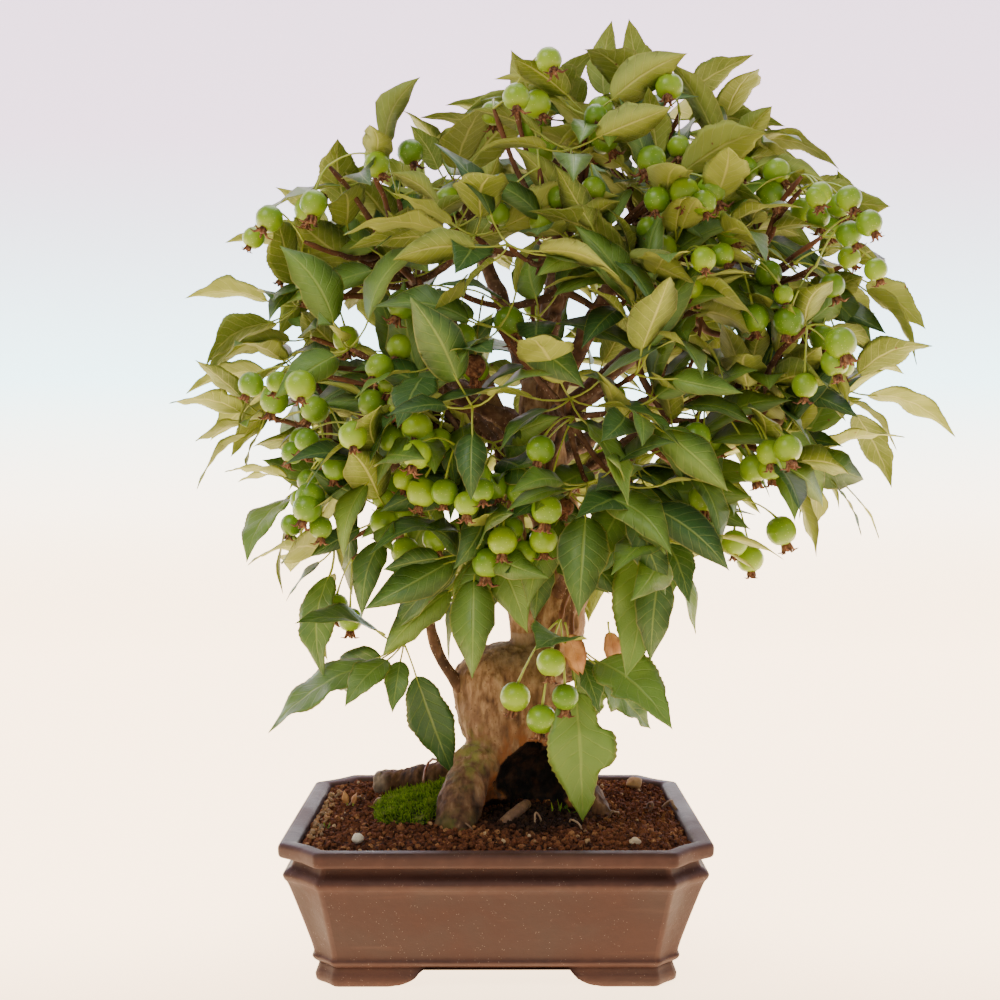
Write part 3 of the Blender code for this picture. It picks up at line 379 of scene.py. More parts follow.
def welded(node: Object) -> tuple[Array, Array]:
    """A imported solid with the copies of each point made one.

    Args:
        node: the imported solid.

    Returns:
        Its points, shape (k, 3), and its triangles, shape (m, 3).
    """
    count = len(node.data.vertices)
    places = np.empty(count * 3, np.float32)
    node.data.vertices.foreach_get("co", places)
    node.data.calc_loop_triangles()
    tris = np.empty(len(node.data.loop_triangles) * 3, np.int32)
    node.data.loop_triangles.foreach_get("vertices", tris)
    keys = np.round(places.reshape(-1, 3).astype(float) * 1e6).astype(np.int64)
    points, index = np.unique(keys, axis=0, return_inverse=True)
    return points / 1e6, index.reshape(-1)[tris.reshape(-1, 3)]


def islands(points: Array, tris: Array, hub: Array, reach: float) -> list[Array]:
    """The groups of linked points that lie far from a place.

    Args:
        points: shape (k, 3).
        tris: shape (m, 3), which link the points.
        hub: shape (3,), the place.
        reach: points nearer than this are left out.

    Returns:
        The points of each group.
    """
    far = np.linalg.norm(points - hub, axis=1) > reach
    links = np.concatenate([tris[:, [0, 1]], tris[:, [1, 2]], tris[:, [2, 0]]])
    links = links[far[links].all(axis=1)]
    label = np.arange(len(points))
    for _ in range(len(points)):
        lowest = np.minimum(label[links[:, 0]], label[links[:, 1]])
        fresh = label.copy()
        np.minimum.at(fresh, links[:, 0], lowest)
        np.minimum.at(fresh, links[:, 1], lowest)
        if np.array_equal(fresh, label):
            break
        label = fresh
    return [points[(label == key) & far] for key in np.unique(label[far])]


# ---- finishes


class Recipe:
    """A Principled material put together from a few kinds of node."""

    def __init__(self, name: str, roughness: float, specular: float = 0.5, metallic: float = 0.0) -> None:
        """Starts a material with its constant values on the shader itself.

        Args:
            name: the material's name.
            roughness: from 0, a mirror, to 1.
            specular: the strength of reflections head on.
            metallic: 0 or 1.
        """
        self.material = bpy.data.materials.new(name)
        self.material.use_nodes = True
        self.tree = self.material.node_tree
        self.shader = self.tree.nodes["Principled BSDF"]
        self.shader.inputs["Roughness"].default_value = roughness
        self.shader.inputs["Specular IOR Level"].default_value = specular
        self.shader.inputs["Metallic"].default_value = metallic
        self.places = self.tree.nodes.new("ShaderNodeTexCoord")

    def feed(self, socket: Socket, value: Socket | float | Colour) -> None:
        """Links a socket to another, or sets its value.

        Args:
            socket: the input.
            value: what it gets.
        """
        if isinstance(value, bpy.types.NodeSocket):
            self.tree.links.new(value, socket)
        elif isinstance(value, tuple):
            socket.default_value = (*value, 1.0) if len(socket.default_value) == 4 else value
        else:
            socket.default_value = value

    def node(self, kind: str, inputs: dict[str | int, Socket | float | Colour], **settings: str) -> Node:
        """A new node.

        Args:
            kind: its type, without the start that all of them share.
            inputs: what each of its inputs gets.
            **settings: its options.

        Returns:
            The node.
        """
        node = self.tree.nodes.new("ShaderNode" + kind)
        for key, value in settings.items():
            setattr(node, key, value)
        for key, value in inputs.items():
            self.feed(node.inputs[key], value)
        return node

    def where(self, stretch: Point) -> Socket:
        """Object coordinates, scaled along each axis."""
        inputs = {"Vector": self.places.outputs["Object"], "Scale": stretch}
        return self.node("Mapping", inputs).outputs["Vector"]

    def mark(self, name: str) -> Socket:
        """A number that the mesh carries at each vertex."""
        return self.node("Attribute", {}, attribute_name=name).outputs["Fac"]

    def across_and_along(self) -> tuple[Socket, Socket]:
        """The UV map's two numbers."""
        split = self.node("SeparateXYZ", {0: self.places.outputs["UV"]})
        return split.outputs[0], split.outputs[1]

    def noise(self, scale: float, detail: float = 3.0, at: Socket | None = None,
              warp: float = 0.0) -> Socket:
        """Cloudy noise about 0.5, read in Object coordinates unless told, and bent by its warp."""
        at = at or self.places.outputs["Object"]
        inputs = {"Vector": at, "Scale": scale, "Detail": detail, "Distortion": warp}
        return self.node("TexNoise", inputs).outputs["Fac"]

    def cells(self, scale: float, at: Socket | None = None, feature: str = "F1") -> Socket:
        """The distance to the nearest of scattered points, or to the edge between two."""
        inputs = {"Vector": at or self.places.outputs["Object"], "Scale": scale}
        return self.node("TexVoronoi", inputs, feature=feature).outputs["Distance"]

    def sum(self, operation: str, first: Socket | float, second: Socket | float = 0.0) -> Socket:
        """One arithmetic step."""
        return self.node("Math", {0: first, 1: second}, operation=operation).outputs[0]

    def times(self, first: Socket, second: Socket | float) -> Socket:
        """Two numbers multiplied."""
        return self.sum("MULTIPLY", first, second)

    def span(self, value: Socket, low: float, high: float, first: float = 0.0, last: float = 1.0) -> Socket:
        """A smooth step from first to last as value goes from low to high."""
        inputs = {"Value": value, "From Min": low, "From Max": high, "To Min": first, "To Max": last}
        return self.node("MapRange", inputs, interpolation_type="SMOOTHSTEP").outputs["Result"]

    def ramp(self, value: Socket, *stops: tuple[float, Colour]) -> Socket:
        """A colour that runs through stops.

        Args:
            value: the place on the ramp.
            *stops: places with their colours.

        Returns:
            The colour.
        """
        node = self.node("ValToRGB", {"Fac": value})
        bar = node.color_ramp.elements
        while len(bar) < len(stops):
            bar.new(1.0)
        for element, (place, colour) in zip(bar, stops):
            element.position = place
            element.color = (*colour, 1.0)
        return node.outputs["Color"]

    def blend(self, share: Socket, first: Socket | Colour, second: Socket | Colour) -> Socket:
        """Two colours mixed."""
        return self.node("Mix", {0: share, 6: first, 7: second}, data_type="RGBA").outputs[2]

    def relief(self, height: Socket, depth: float, strength: float) -> None:
        """Bumps on the surface, over those it already has.

        Args:
            height: the pattern, from 0 to 1.
            depth: how high they are, in metres.
            strength: how far they tip the surface.
        """
        node = self.node("Bump", {"Strength": strength, "Distance": depth, "Height": height})
        before = self.shader.inputs["Normal"].links
        if before:
            self.feed(node.inputs["Normal"], before[0].from_socket)
        self.feed(self.shader.inputs["Normal"], node.outputs["Normal"])

    def done(self, colour: Socket) -> Material:
        """Gives the shader its colour and returns the material."""
        self.feed(self.shader.inputs["Base Color"], colour)
        return self.material


@dataclass(frozen=True)
class StonewareFinish:
    """Unglazed red-brown clay: cloudy, finely specked, scuffed lighter on its edges."""

    body: Colour = (0.043, 0.016, 0.011)
    deep: Colour = (0.033, 0.013, 0.009)
    scuffed: Colour = (0.105, 0.049, 0.035)
    light: Colour = (0.054, 0.021, 0.014)
    streak: Colour = (0.105, 0.046, 0.029)
    speck: Colour = (0.4, 0.31, 0.25)

    def build(self) -> Material:
        """Puts the material together.

        Returns:
            The material: clouds, streaks, specks and rubbed edges, with fine grain as relief.
        """
        r = Recipe("stoneware_unglazed", 0.6, 0.28)
        cloud = r.noise(26, 4, warp=0.6)
        tone = r.ramp(cloud, (0.32, self.deep), (0.55, self.body), (0.75, self.light))
        streaks = r.noise(60, 3, at=r.where((0.25, 0.25, 3.0)))
        tone = r.blend(r.span(streaks, 0.58, 0.74, 0, 0.22), tone, self.streak)
        rub = r.times(r.mark("rub"), r.span(r.noise(150, 4), 0.35, 0.7, 0.45, 0.9))
        tone = r.blend(r.times(rub, 0.45), tone, self.scuffed)
        dots = r.span(r.cells(900), 0.1, 0.17, 1, 0)
        tone = r.blend(r.times(dots, r.span(r.noise(300, 1), 0.55, 0.62, 0, 0.55)), tone, self.speck)
        r.feed(r.shader.inputs["Roughness"], r.span(cloud, 0.3, 0.7, 0.5, 0.68))
        r.relief(r.noise(2400, 3), 0.00012, 0.7)
        r.relief(r.noise(240, 3), 0.0005, 0.5)
        return r.done(tone)


@dataclass(frozen=True)
class CrumbFinish:
    """Fired clay crumbs: each its own brown, some orange-tan, with a dusty grain."""

    name: str = "soil_crumbs"
    damp: Colour = (0.018, 0.006, 0.003)
    brown: Colour = (0.092, 0.028, 0.012)
    rust: Colour = (0.19, 0.066, 0.026)
    tan: Colour = (0.4, 0.19, 0.075)
    # Near black, for a patch of crumbs before the trunk's foot.
    patch_darkest: Colour = (0.006, 0.004, 0.003)

    def build(self) -> Material:
        """Puts the material together.

        Returns:
            The material: the crumb's tone along a ramp, clouded, with a rough grain.
        """
        r = Recipe(self.name, 0.95, 0.2)
        browns = (0.0, self.damp), (0.3, self.brown), (0.86, self.rust), (1.0, self.tan)
        tone = r.ramp(r.mark("tone"), *browns)
        tone = r.blend(r.span(r.noise(700, 3), 0.4, 0.66, 0, 0.55), tone, self.rust)
        tone = r.blend(r.span(r.noise(1500, 2), 0.45, 0.7, 0, 0.45), tone, self.damp)
        # Darkens a patch of crumbs before the trunk's foot nearly to black.
        tone = r.blend(r.times(r.mark("wet"), 0.88), tone, self.patch_darkest)
        r.relief(r.noise(2600, 3), 0.0004, 0.8)
        return r.done(tone)


@dataclass(frozen=True)
class StoneFinish:
    """Pale grit: white, tan and grey grains."""

    grey: Colour = (0.16, 0.16, 0.11)
    brown: Colour = (0.32, 0.16, 0.06)
    tan: Colour = (0.5, 0.36, 0.2)
    white: Colour = (0.66, 0.6, 0.47)
    vein: Colour = (0.36, 0.27, 0.18)

    def build(self) -> Material:
        """Puts the material together.

        Returns:
            The material: the grain's tone along a ramp, with veins and pits.
        """
        r = Recipe("pale_grit", 0.82, 0.3)
        tones = (0.0, self.grey), (0.3, self.brown), (0.65, self.tan), (1.0, self.white)
        tone = r.ramp(r.mark("tone"), *tones)
        tone = r.blend(r.span(r.noise(520, 4, warp=0.8), 0.5, 0.72, 0, 0.6), tone, self.vein)
        r.relief(r.noise(1600, 3), 0.0003, 0.8)
        return r.done(tone)


@dataclass(frozen=True)
class MossFinish:
    """Short bright moss, darker and browner at the foot of its shoots, with the shade among them painted in.
    """

    # Painted shade: the near-black green at the foot of the shoots and on the bare cushion.
    foot: Colour = (0.012, 0.02, 0.002)
    green: Colour = (0.06, 0.13, 0.006)
    tip: Colour = (0.27, 0.4, 0.02)
    straw: Colour = (0.24, 0.26, 0.05)

    def build(self) -> Material:
        """Puts the material together.

        Returns:
            The material: green that lightens with the height of a shoot, with painted shade darkest at its
                foot, patched by noise.
        """
        r = Recipe("moss_shoots", 0.9, 0.25)
        # Painted shade: the tone mark runs from the dark foot up to the bright tip.
        tone = r.ramp(r.mark("tone"), (0.0, self.foot), (0.45, self.green), (1.0, self.tip))
        tone = r.blend(r.span(r.noise(240, 3), 0.52, 0.7, 0, 0.6), tone, self.straw)
        r.relief(r.noise(1800, 3), 0.0006, 0.9)
        return r.done(tone)


@dataclass(frozen=True)
class BarkFinish:
    """Pale grey-tan bark with upright fibres, rust-coloured flakes, green tint, and hollows painted black
    with shade.
    """

    pale: Colour = (0.32, 0.205, 0.112)
    mid: Colour = (0.165, 0.092, 0.044)
    dark: Colour = (0.055, 0.027, 0.013)
    bright: Colour = (0.47, 0.345, 0.22)
    cloud: Colour = (0.175, 0.098, 0.05)
    crack: Colour = (0.08, 0.038, 0.018)
    rust: Colour = (0.21, 0.072, 0.018)
    green: Colour = (0.155, 0.15, 0.03)
    root: tuple[Colour, ...] = ((0.014, 0.007, 0.004), (0.062, 0.029, 0.013), (0.122, 0.062, 0.029),
                                (0.245, 0.155, 0.088))
    dead: tuple[Colour, ...] = ((0.12, 0.09, 0.065), (0.36, 0.29, 0.22))
    # Painted shade for the carved hollow: near black, up to dark brown.
    hollow_shade: tuple[Colour, ...] = ((0.003, 0.002, 0.002), (0.05, 0.022, 0.01))

    def build(self) -> Material:
        """Puts the material together.

        Returns:
            The material: fine stretched noise for fibres, and the mesh's marks for the patches.
        """
        r = Recipe("bark_trunk", 0.78, 0.3)
        upright = r.where((1.0, 1.0, 0.4))
        fibre = r.noise(230, 8, at=upright)
        tone = r.ramp(fibre, (0.3, self.dark), (0.43, self.mid), (0.58, self.pale), (0.75, self.bright))
        tone = r.blend(r.span(r.noise(48, 5), 0.44, 0.64, 0, 0.75), tone, self.cloud)
        tone = r.blend(r.span(r.noise(700, 3), 0.6, 0.72, 0, 0.7), tone, self.crack)
        damp = r.noise(260, 8, at=r.where((1.0, 1.0, 0.55)))
        tone = r.blend(r.mark("low"), tone, r.ramp(damp, *zip((0.3, 0.46, 0.62, 0.78), self.root)))
        flakes = r.times(r.mark("flake"), r.span(r.noise(210, 5, at=upright), 0.4, 0.56))
        tone = r.blend(flakes, tone, self.rust)
        green = r.times(r.mark("green"), r.span(r.noise(160, 5), 0.42, 0.6))
        tone = r.blend(green, tone, self.green)
        tone = r.blend(r.mark("old"), tone, r.ramp(r.noise(95, 6), *zip((0.35, 0.7), self.dead)))
        # Painted shade: the hollow mark darkens the carved recess to near black.
        tone = r.blend(r.mark("hollow"), tone, r.ramp(r.noise(180, 5), *zip((0.46, 0.74), self.hollow_shade)))
        r.relief(fibre, 0.0016, 0.9)
        r.relief(r.cells(360, at=r.where((1.0, 1.0, 0.45)), feature="DISTANCE_TO_EDGE"), 0.0006, 0.6)
        return r.done(tone)


@dataclass(frozen=True)
class TwigFinish:
    """Brown bark of limbs, smoother and redder on young shoots, with pale pores."""

    old: tuple[Colour, ...] = ((0.04, 0.02, 0.011), (0.11, 0.056, 0.03), (0.22, 0.135, 0.08))
    young: tuple[Colour, ...] = ((0.07, 0.024, 0.011), (0.15, 0.06, 0.024))
    pore: Colour = (0.38, 0.27, 0.18)
    pale: Colour = (0.34, 0.23, 0.14)

    def build(self) -> Material:
        """Puts the material together.

        Returns:
            The material: the young mark runs it from grey-brown bark to red-brown shoot.
        """
        r = Recipe("bark_limbs", 0.75, 0.35)
        old = r.ramp(r.noise(150, 5, warp=0.7), *zip((0.3, 0.55, 0.75), self.old))
        young = r.ramp(r.noise(90, 3), *zip((0.35, 0.65), self.young))
        tone = r.blend(r.mark("young"), old, young)
        pores = r.span(r.cells(520, at=r.where((1.0, 1.0, 0.6))), 0.12, 0.2, 0.75, 0)
        tone = r.blend(pores, tone, self.pore)
        tone = r.blend(r.mark("pale"), tone, self.pale)
        r.relief(r.noise(420, 5), 0.0008, 0.8)
        return r.done(tone)


@dataclass(frozen=True)
class LeafFinish:
    """A leaf: cool mid green above, yellow olive below, pale ribs, pale toothed edge, dry patches."""

    above: Colour = (0.032, 0.098, 0.018)
    above_light: Colour = (0.14, 0.255, 0.036)
    below: Colour = (0.165, 0.23, 0.024)
    below_light: Colour = (0.34, 0.41, 0.07)
    rib: Colour = (0.33, 0.43, 0.09)
    rib_below: Colour = (0.54, 0.56, 0.16)
    edge: Colour = (0.42, 0.43, 0.09)
    spot: Colour = (0.2, 0.085, 0.03)
    stalk: Colour = (0.33, 0.4, 0.05)
    dry: tuple[Colour, ...] = ((0.34, 0.13, 0.04), (0.66, 0.34, 0.13))

    def build(self) -> Material:
        """Puts the material together.

        Returns:
            The material. U runs round the blade, over its upper side up to a half and back under it, so
            |2 frac(2U) - 1| is how far a point is from the midrib, and the ribs are lines of equal V less
            a share of that.
        """
        r = Recipe("leaf_blade", 0.5, 0.45)
        around, along = r.across_and_along()
        twice = r.times(around, 2.0)
        under = r.sum("GREATER_THAN", twice, 1.0)
        off = r.sum("ABSOLUTE", r.sum("SUBTRACT", r.times(r.sum("FRACT", twice), 2.0), 1.0))
        lean = r.sum("SUBTRACT", along, r.times(off, 0.2))
        waves = r.sum("ADD", r.times(lean, 9.0), r.times(r.noise(90, 2), 0.5))
        ribs = r.span(r.sum("PINGPONG", waves, 0.5), 0.0, 0.085, 1, 0)
        midrib = r.span(off, 0.02, 0.085, 1, 0)
        net = r.span(r.cells(520, feature="DISTANCE_TO_EDGE"), 0.0, 0.09, 0.32, 0)
        lines = r.sum("MAXIMUM", midrib, r.times(ribs, 0.62))
        mood = r.sum("ADD", r.times(r.mark("tone"), 0.8), r.times(r.noise(130, 3), 0.5))
        top = r.blend(r.span(mood, 0.25, 1.05), self.above, self.above_light)
        bottom = r.blend(r.span(mood, 0.25, 1.0), self.below, self.below_light)
        top = r.blend(r.times(lines, 0.42), top, self.rib)
        top = r.blend(r.times(net, 0.35), top, self.above_light)
        bottom = r.blend(r.times(lines, 0.75), bottom, self.rib_below)
        bottom = r.blend(net, bottom, self.below_light)
        tone = r.blend(under, top, bottom)
        edge = r.span(off, 0.9, 1.0, 0, 0.6)
        tone = r.blend(edge, tone, self.edge)
        spots = r.span(r.cells(70, at=r.where((1.3, 1.0, 1.0))), 0.045, 0.085, 1, 0)
        spots = r.times(spots, r.span(r.noise(40, 1), 0.54, 0.6))
        tone = r.blend(r.times(spots, 0.85), tone, self.spot)
        tone = r.blend(r.mark("dry"), tone, r.ramp(r.noise(170, 4), *zip((0.3, 0.7), self.dry)))
        tone = r.blend(r.mark("stalk"), tone, self.stalk)
        r.feed(r.shader.inputs["Roughness"], r.span(under, 0, 1, 0.42, 0.66))
        heights = r.sum("SUBTRACT", 1.0, r.sum("MAXIMUM", lines, r.times(net, 0.5)))
        r.relief(heights, 0.0006, 0.55)
        return r.done(tone)


@dataclass(frozen=True)
class FruitFinish:
    """A small hard apple: light green with faint pale dots, a dry brown eye and a green stalk."""

    skin: Colour = (0.105, 0.24, 0.006)
    light: Colour = (0.24, 0.4, 0.016)
    blush: Colour = (0.42, 0.5, 0.06)
    dot: Colour = (0.55, 0.68, 0.16)
    stalk: Colour = (0.33, 0.42, 0.05)
    dry: tuple[Colour, ...] = ((0.026, 0.01, 0.005), (0.14, 0.055, 0.024), (0.36, 0.2, 0.1))

    def build(self) -> Material:
        """Puts the material together.

        Returns:
            The material: cloudy green, dots, and the marks for the stalk, husk and dead fruit.
        """
        r = Recipe("fruit_skin", 0.34, 0.45)
        _, along = r.across_and_along()
        cloud = r.sum("ADD", r.times(r.noise(80, 3), 0.7), r.times(r.mark("tone"), 0.5))
        tone = r.blend(r.span(cloud, 0.3, 0.85), self.skin, self.light)
        tone = r.blend(r.span(along, 0.7, 1.0, 0, 0.35), tone, self.blush)
        dots = r.span(r.cells(640), 0.1, 0.2, 0.55, 0)
        tone = r.blend(dots, tone, self.dot)
        brown = r.ramp(r.noise(420, 4, warp=0.6), *zip((0.3, 0.5, 0.75), self.dry))
        tone = r.blend(r.mark("stalk"), tone, self.stalk)
        tone = r.blend(r.mark("dry"), tone, brown)
        r.feed(r.shader.inputs["Roughness"], r.span(r.mark("dry"), 0, 1, 0.34, 0.9))
        r.relief(r.noise(700, 2), 0.0002, 0.35)
        return r.done(tone)


@dataclass(frozen=True)
class HardwareFinish:
    """Drawn wire or moulded plastic, by its colours, gloss and metal."""

    name: str
    colour: Colour
    worn: Colour
    roughness: float
    metallic: float

    def build(self) -> Material:
        """Puts the material together.

        Returns:
            The material: two tones clouded together, with draw marks as relief.
        """
        r = Recipe(self.name, self.roughness, 0.5, self.metallic)
        tone = r.blend(r.span(r.noise(420, 3), 0.42, 0.64), self.colour, self.worn)
        r.relief(r.noise(1500, 2), 0.0001, 0.4)
        return r.done(tone)


# ---- layout


@dataclass
class Layout:
    """Sizes of the pot and tree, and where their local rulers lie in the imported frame."""

    pot_length: float = 0.2215
    pot_depth: float = 0.19
    pot_height: float = 0.0725
    corner_cut: float = 0.0215
    rim_width: float = 0.01
    soil_edge: float = 0.0675
    soil_mound: float = 0.008
    tree_height: float = 0.44
    crown_spread: float = 0.43
    crown_depth: float = 0.33
    trunk_radius: float = 0.0285
    trunk_middle: tuple[float, float] = (0.008, 0.002)
    heart: Point = (0.13, 0.02, 0.47)
    lift: float = 0.22
    origin: Array = field(default_factory=lambda: np.zeros(3))

    def settle(self) -> None:
        """Takes the pot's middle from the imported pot."""
        low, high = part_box("pot")
        self.origin = np.array([(low.x + high.x) / 2, (low.y + high.y) / 2, 0.0])

    def crown(self, units: Array) -> Array:
        """Points of the crown's ruler in metres."""
        scale = np.array([self.crown_spread / 2, self.crown_depth / 2, self.tree_height])
        return self.origin + UP * self.soil_edge + np.asarray(units, float) * scale

    def trunk(self, units: Array) -> Array:
        """Points of the trunk's ruler in metres."""
        return self.trunk_foot() + np.asarray(units, float) * self.trunk_radius

    def trunk_foot(self) -> Array:
        """The trunk's middle at the soil's edge."""
        return self.origin + np.array([*self.trunk_middle, self.soil_edge])

    def bed(self, x: Array, y: Array) -> Array:
        """The soil's height.

        Args:
            x: places measured from the pot's middle.
            y: the same, from front to back.

        Returns:
            The heights of a mound that falls to the rim.
        """
        side = np.abs(x) / (self.pot_length / 2 - self.rim_width)
        end = np.abs(y) / (self.pot_depth / 2 - self.rim_width)
        fall = np.clip(1 - np.maximum(side, end) ** 2, 0, 1)
        return self.soil_edge + self.soil_mound * fall**0.8

    def outward(self, places: Array) -> Array:
        """The way shoots head: away from the crown's heart and a little up."""
        away = (places - self.crown(self.heart)) * np.array([1, 1, 0.8])
        return unit(unit(away) + UP * self.lift)

    def on_soil(self, x: float, y: float) -> Array:
        """The point of the soil's top at a place measured from the pot's middle."""
        return self.origin + np.array([x, y, self.bed(x, y)])


# ---- studio


@dataclass(frozen=True)
class Lamp:
    """A soft round light: its place from the pot's middle, its size across, its watts and colour."""

    name: str
    place: Point
    size: float
    power: float
    colour: Colour = (1.0, 1.0, 1.0)


@dataclass
class Studio:
    """A pale sweep, soft lights and the camera."""

    origin: Array
    distance: float = 0.775
    eye: float = 0.2537
    aim: tuple[float, float] = (0.0022, 0.2453)
    lens: float = 50.04
    sensor: float = 36.0
    bend: float = 0.9
    near: float = -8.0
    far: float = 1.3
    top: float = 4.5
    half: float = 8.0
    glow: float = 2.5
    floor_glow: float = 5.5
    front_glow: float = 0.2
    paper_tones: tuple[tuple[float, Colour], ...] = (
        (0.0, (1.0, 0.74, 0.48)), (0.03, (1.0, 0.86, 0.68)),
        (0.14, (0.58, 0.9, 1.0)), (0.5, (0.66, 0.56, 0.78)))
    sky: Colour = (0.95, 0.97, 1.0)
    sky_strength: float = 0.22
    lit: Point = (0.02, 0.0, 0.25)
    lamps: tuple[Lamp, ...] = (
        Lamp("key", (-0.9, -1.1, 1.5), 1.1, 19.0, (1.0, 0.98, 0.95)),
        Lamp("fill", (1.3, -0.9, 0.9), 1.2, 4.0, (0.97, 0.98, 1.0)),
        Lamp("top", (0.1, 0.3, 1.7), 1.2, 13.0),
        Lamp("front", (0.1, -1.8, 0.35), 1.0, 2.5, (1.0, 0.99, 0.97)),
    )

    def build(self) -> None:
        """Sets the studio up."""
        self.make_sweep()
        self.make_lights()
        self.make_camera()

    def make_camera(self) -> None:
        """Sets the camera level with the crown's foot."""
        data = bpy.data.cameras.new("camera")
        data.lens, data.sensor_width = self.lens, self.sensor
        data.clip_start, data.clip_end = 0.01, 50.0
        camera = bpy.data.objects.new("camera", data)
        bpy.context.scene.collection.objects.link(camera)
        x, y, _ = self.origin
        camera.location = (x, y - self.distance, self.eye)
        self.face(camera, Vector((x + self.aim[0], y, self.aim[1])))
        bpy.context.scene.camera = camera

    def face(self, thing: Object, target: Vector) -> None:
        """Turns a camera or lamp to look at a point."""
        thing.rotation_euler = (target - thing.location).to_track_quat("-Z", "Y").to_euler()

    def make_sweep(self) -> None:
        """Makes the floor and backdrop: z is 0 up to the bend, then a quarter circle, then upright."""
        angle = np.linspace(0, np.pi / 2, 24)
        run = [self.near, -1.0, 0.2, *(self.far + self.bend * np.sin(angle)), self.far + self.bend]
        rise = [0, 0, 0, *(self.bend * (1 - np.cos(angle))), self.top]
        x = np.linspace(-self.half, self.half, 9)
        grid = np.stack(np.broadcast_arrays(x, np.array(run)[:, None], np.array(rise)[:, None]), axis=-1)
        rows, columns = grid.shape[:2]
        index = np.arange(rows * columns).reshape(rows, columns)
        corners = index[:-1, :-1], index[:-1, 1:], index[1:, 1:], index[1:, :-1]
        faces = np.stack(corners, axis=-1).reshape(-1, 4)
        mesh = bpy.data.meshes.new("sweep")
        mesh.from_pydata((grid.reshape(-1, 3) + self.origin).tolist(), [], faces.tolist())
        mesh.shade_smooth()
        mesh.materials.append(self.paper())
        sweep = bpy.data.objects.new("sweep", mesh)
        bpy.context.scene.collection.objects.link(sweep)

    def paper(self) -> Material:
        """Puts the material of the sweep together.

        Returns:
            Pale glowing paper: warm near the floor, cool above, and dimmer in front of the pot.
        """
        r = Recipe("paper", 0.9, 0.1)
        split = r.node("SeparateXYZ", {0: r.places.outputs["Object"]})
        height = r.span(split.outputs[2], 0.0, 2.0)
        tone = r.ramp(height, *self.paper_tones)
        r.feed(r.shader.inputs["Emission Color"], tone)
        near = r.span(split.outputs[1], -0.35, 0.05, self.front_glow, 1.0)
        glow = r.times(near, r.span(height, 0.0, 0.45, self.floor_glow, self.glow))
        r.feed(r.shader.inputs["Emission Strength"], glow)
        return r.done(tone)

    def make_lights(self) -> None:
        """Makes a pale sky, a broad key light above to the left, and fills at the right and the front."""
        world = bpy.data.worlds.new("studio")
        world.use_nodes = True
        world.node_tree.nodes["Background"].inputs["Color"].default_value = (*self.sky, 1.0)
        world.node_tree.nodes["Background"].inputs["Strength"].default_value = self.sky_strength
        bpy.context.scene.world = world
        for plan in self.lamps:
            data = bpy.data.lights.new(plan.name, "AREA")
            data.shape, data.size = "DISK", plan.size
            data.energy, data.color = plan.power, plan.colour
            lamp = bpy.data.objects.new(plan.name, data)
            lamp.location = Vector(self.origin) + Vector(plan.place)
            self.face(lamp, Vector(self.origin) + Vector(self.lit))
            bpy.context.scene.collection.objects.link(lamp)


# ---- pot


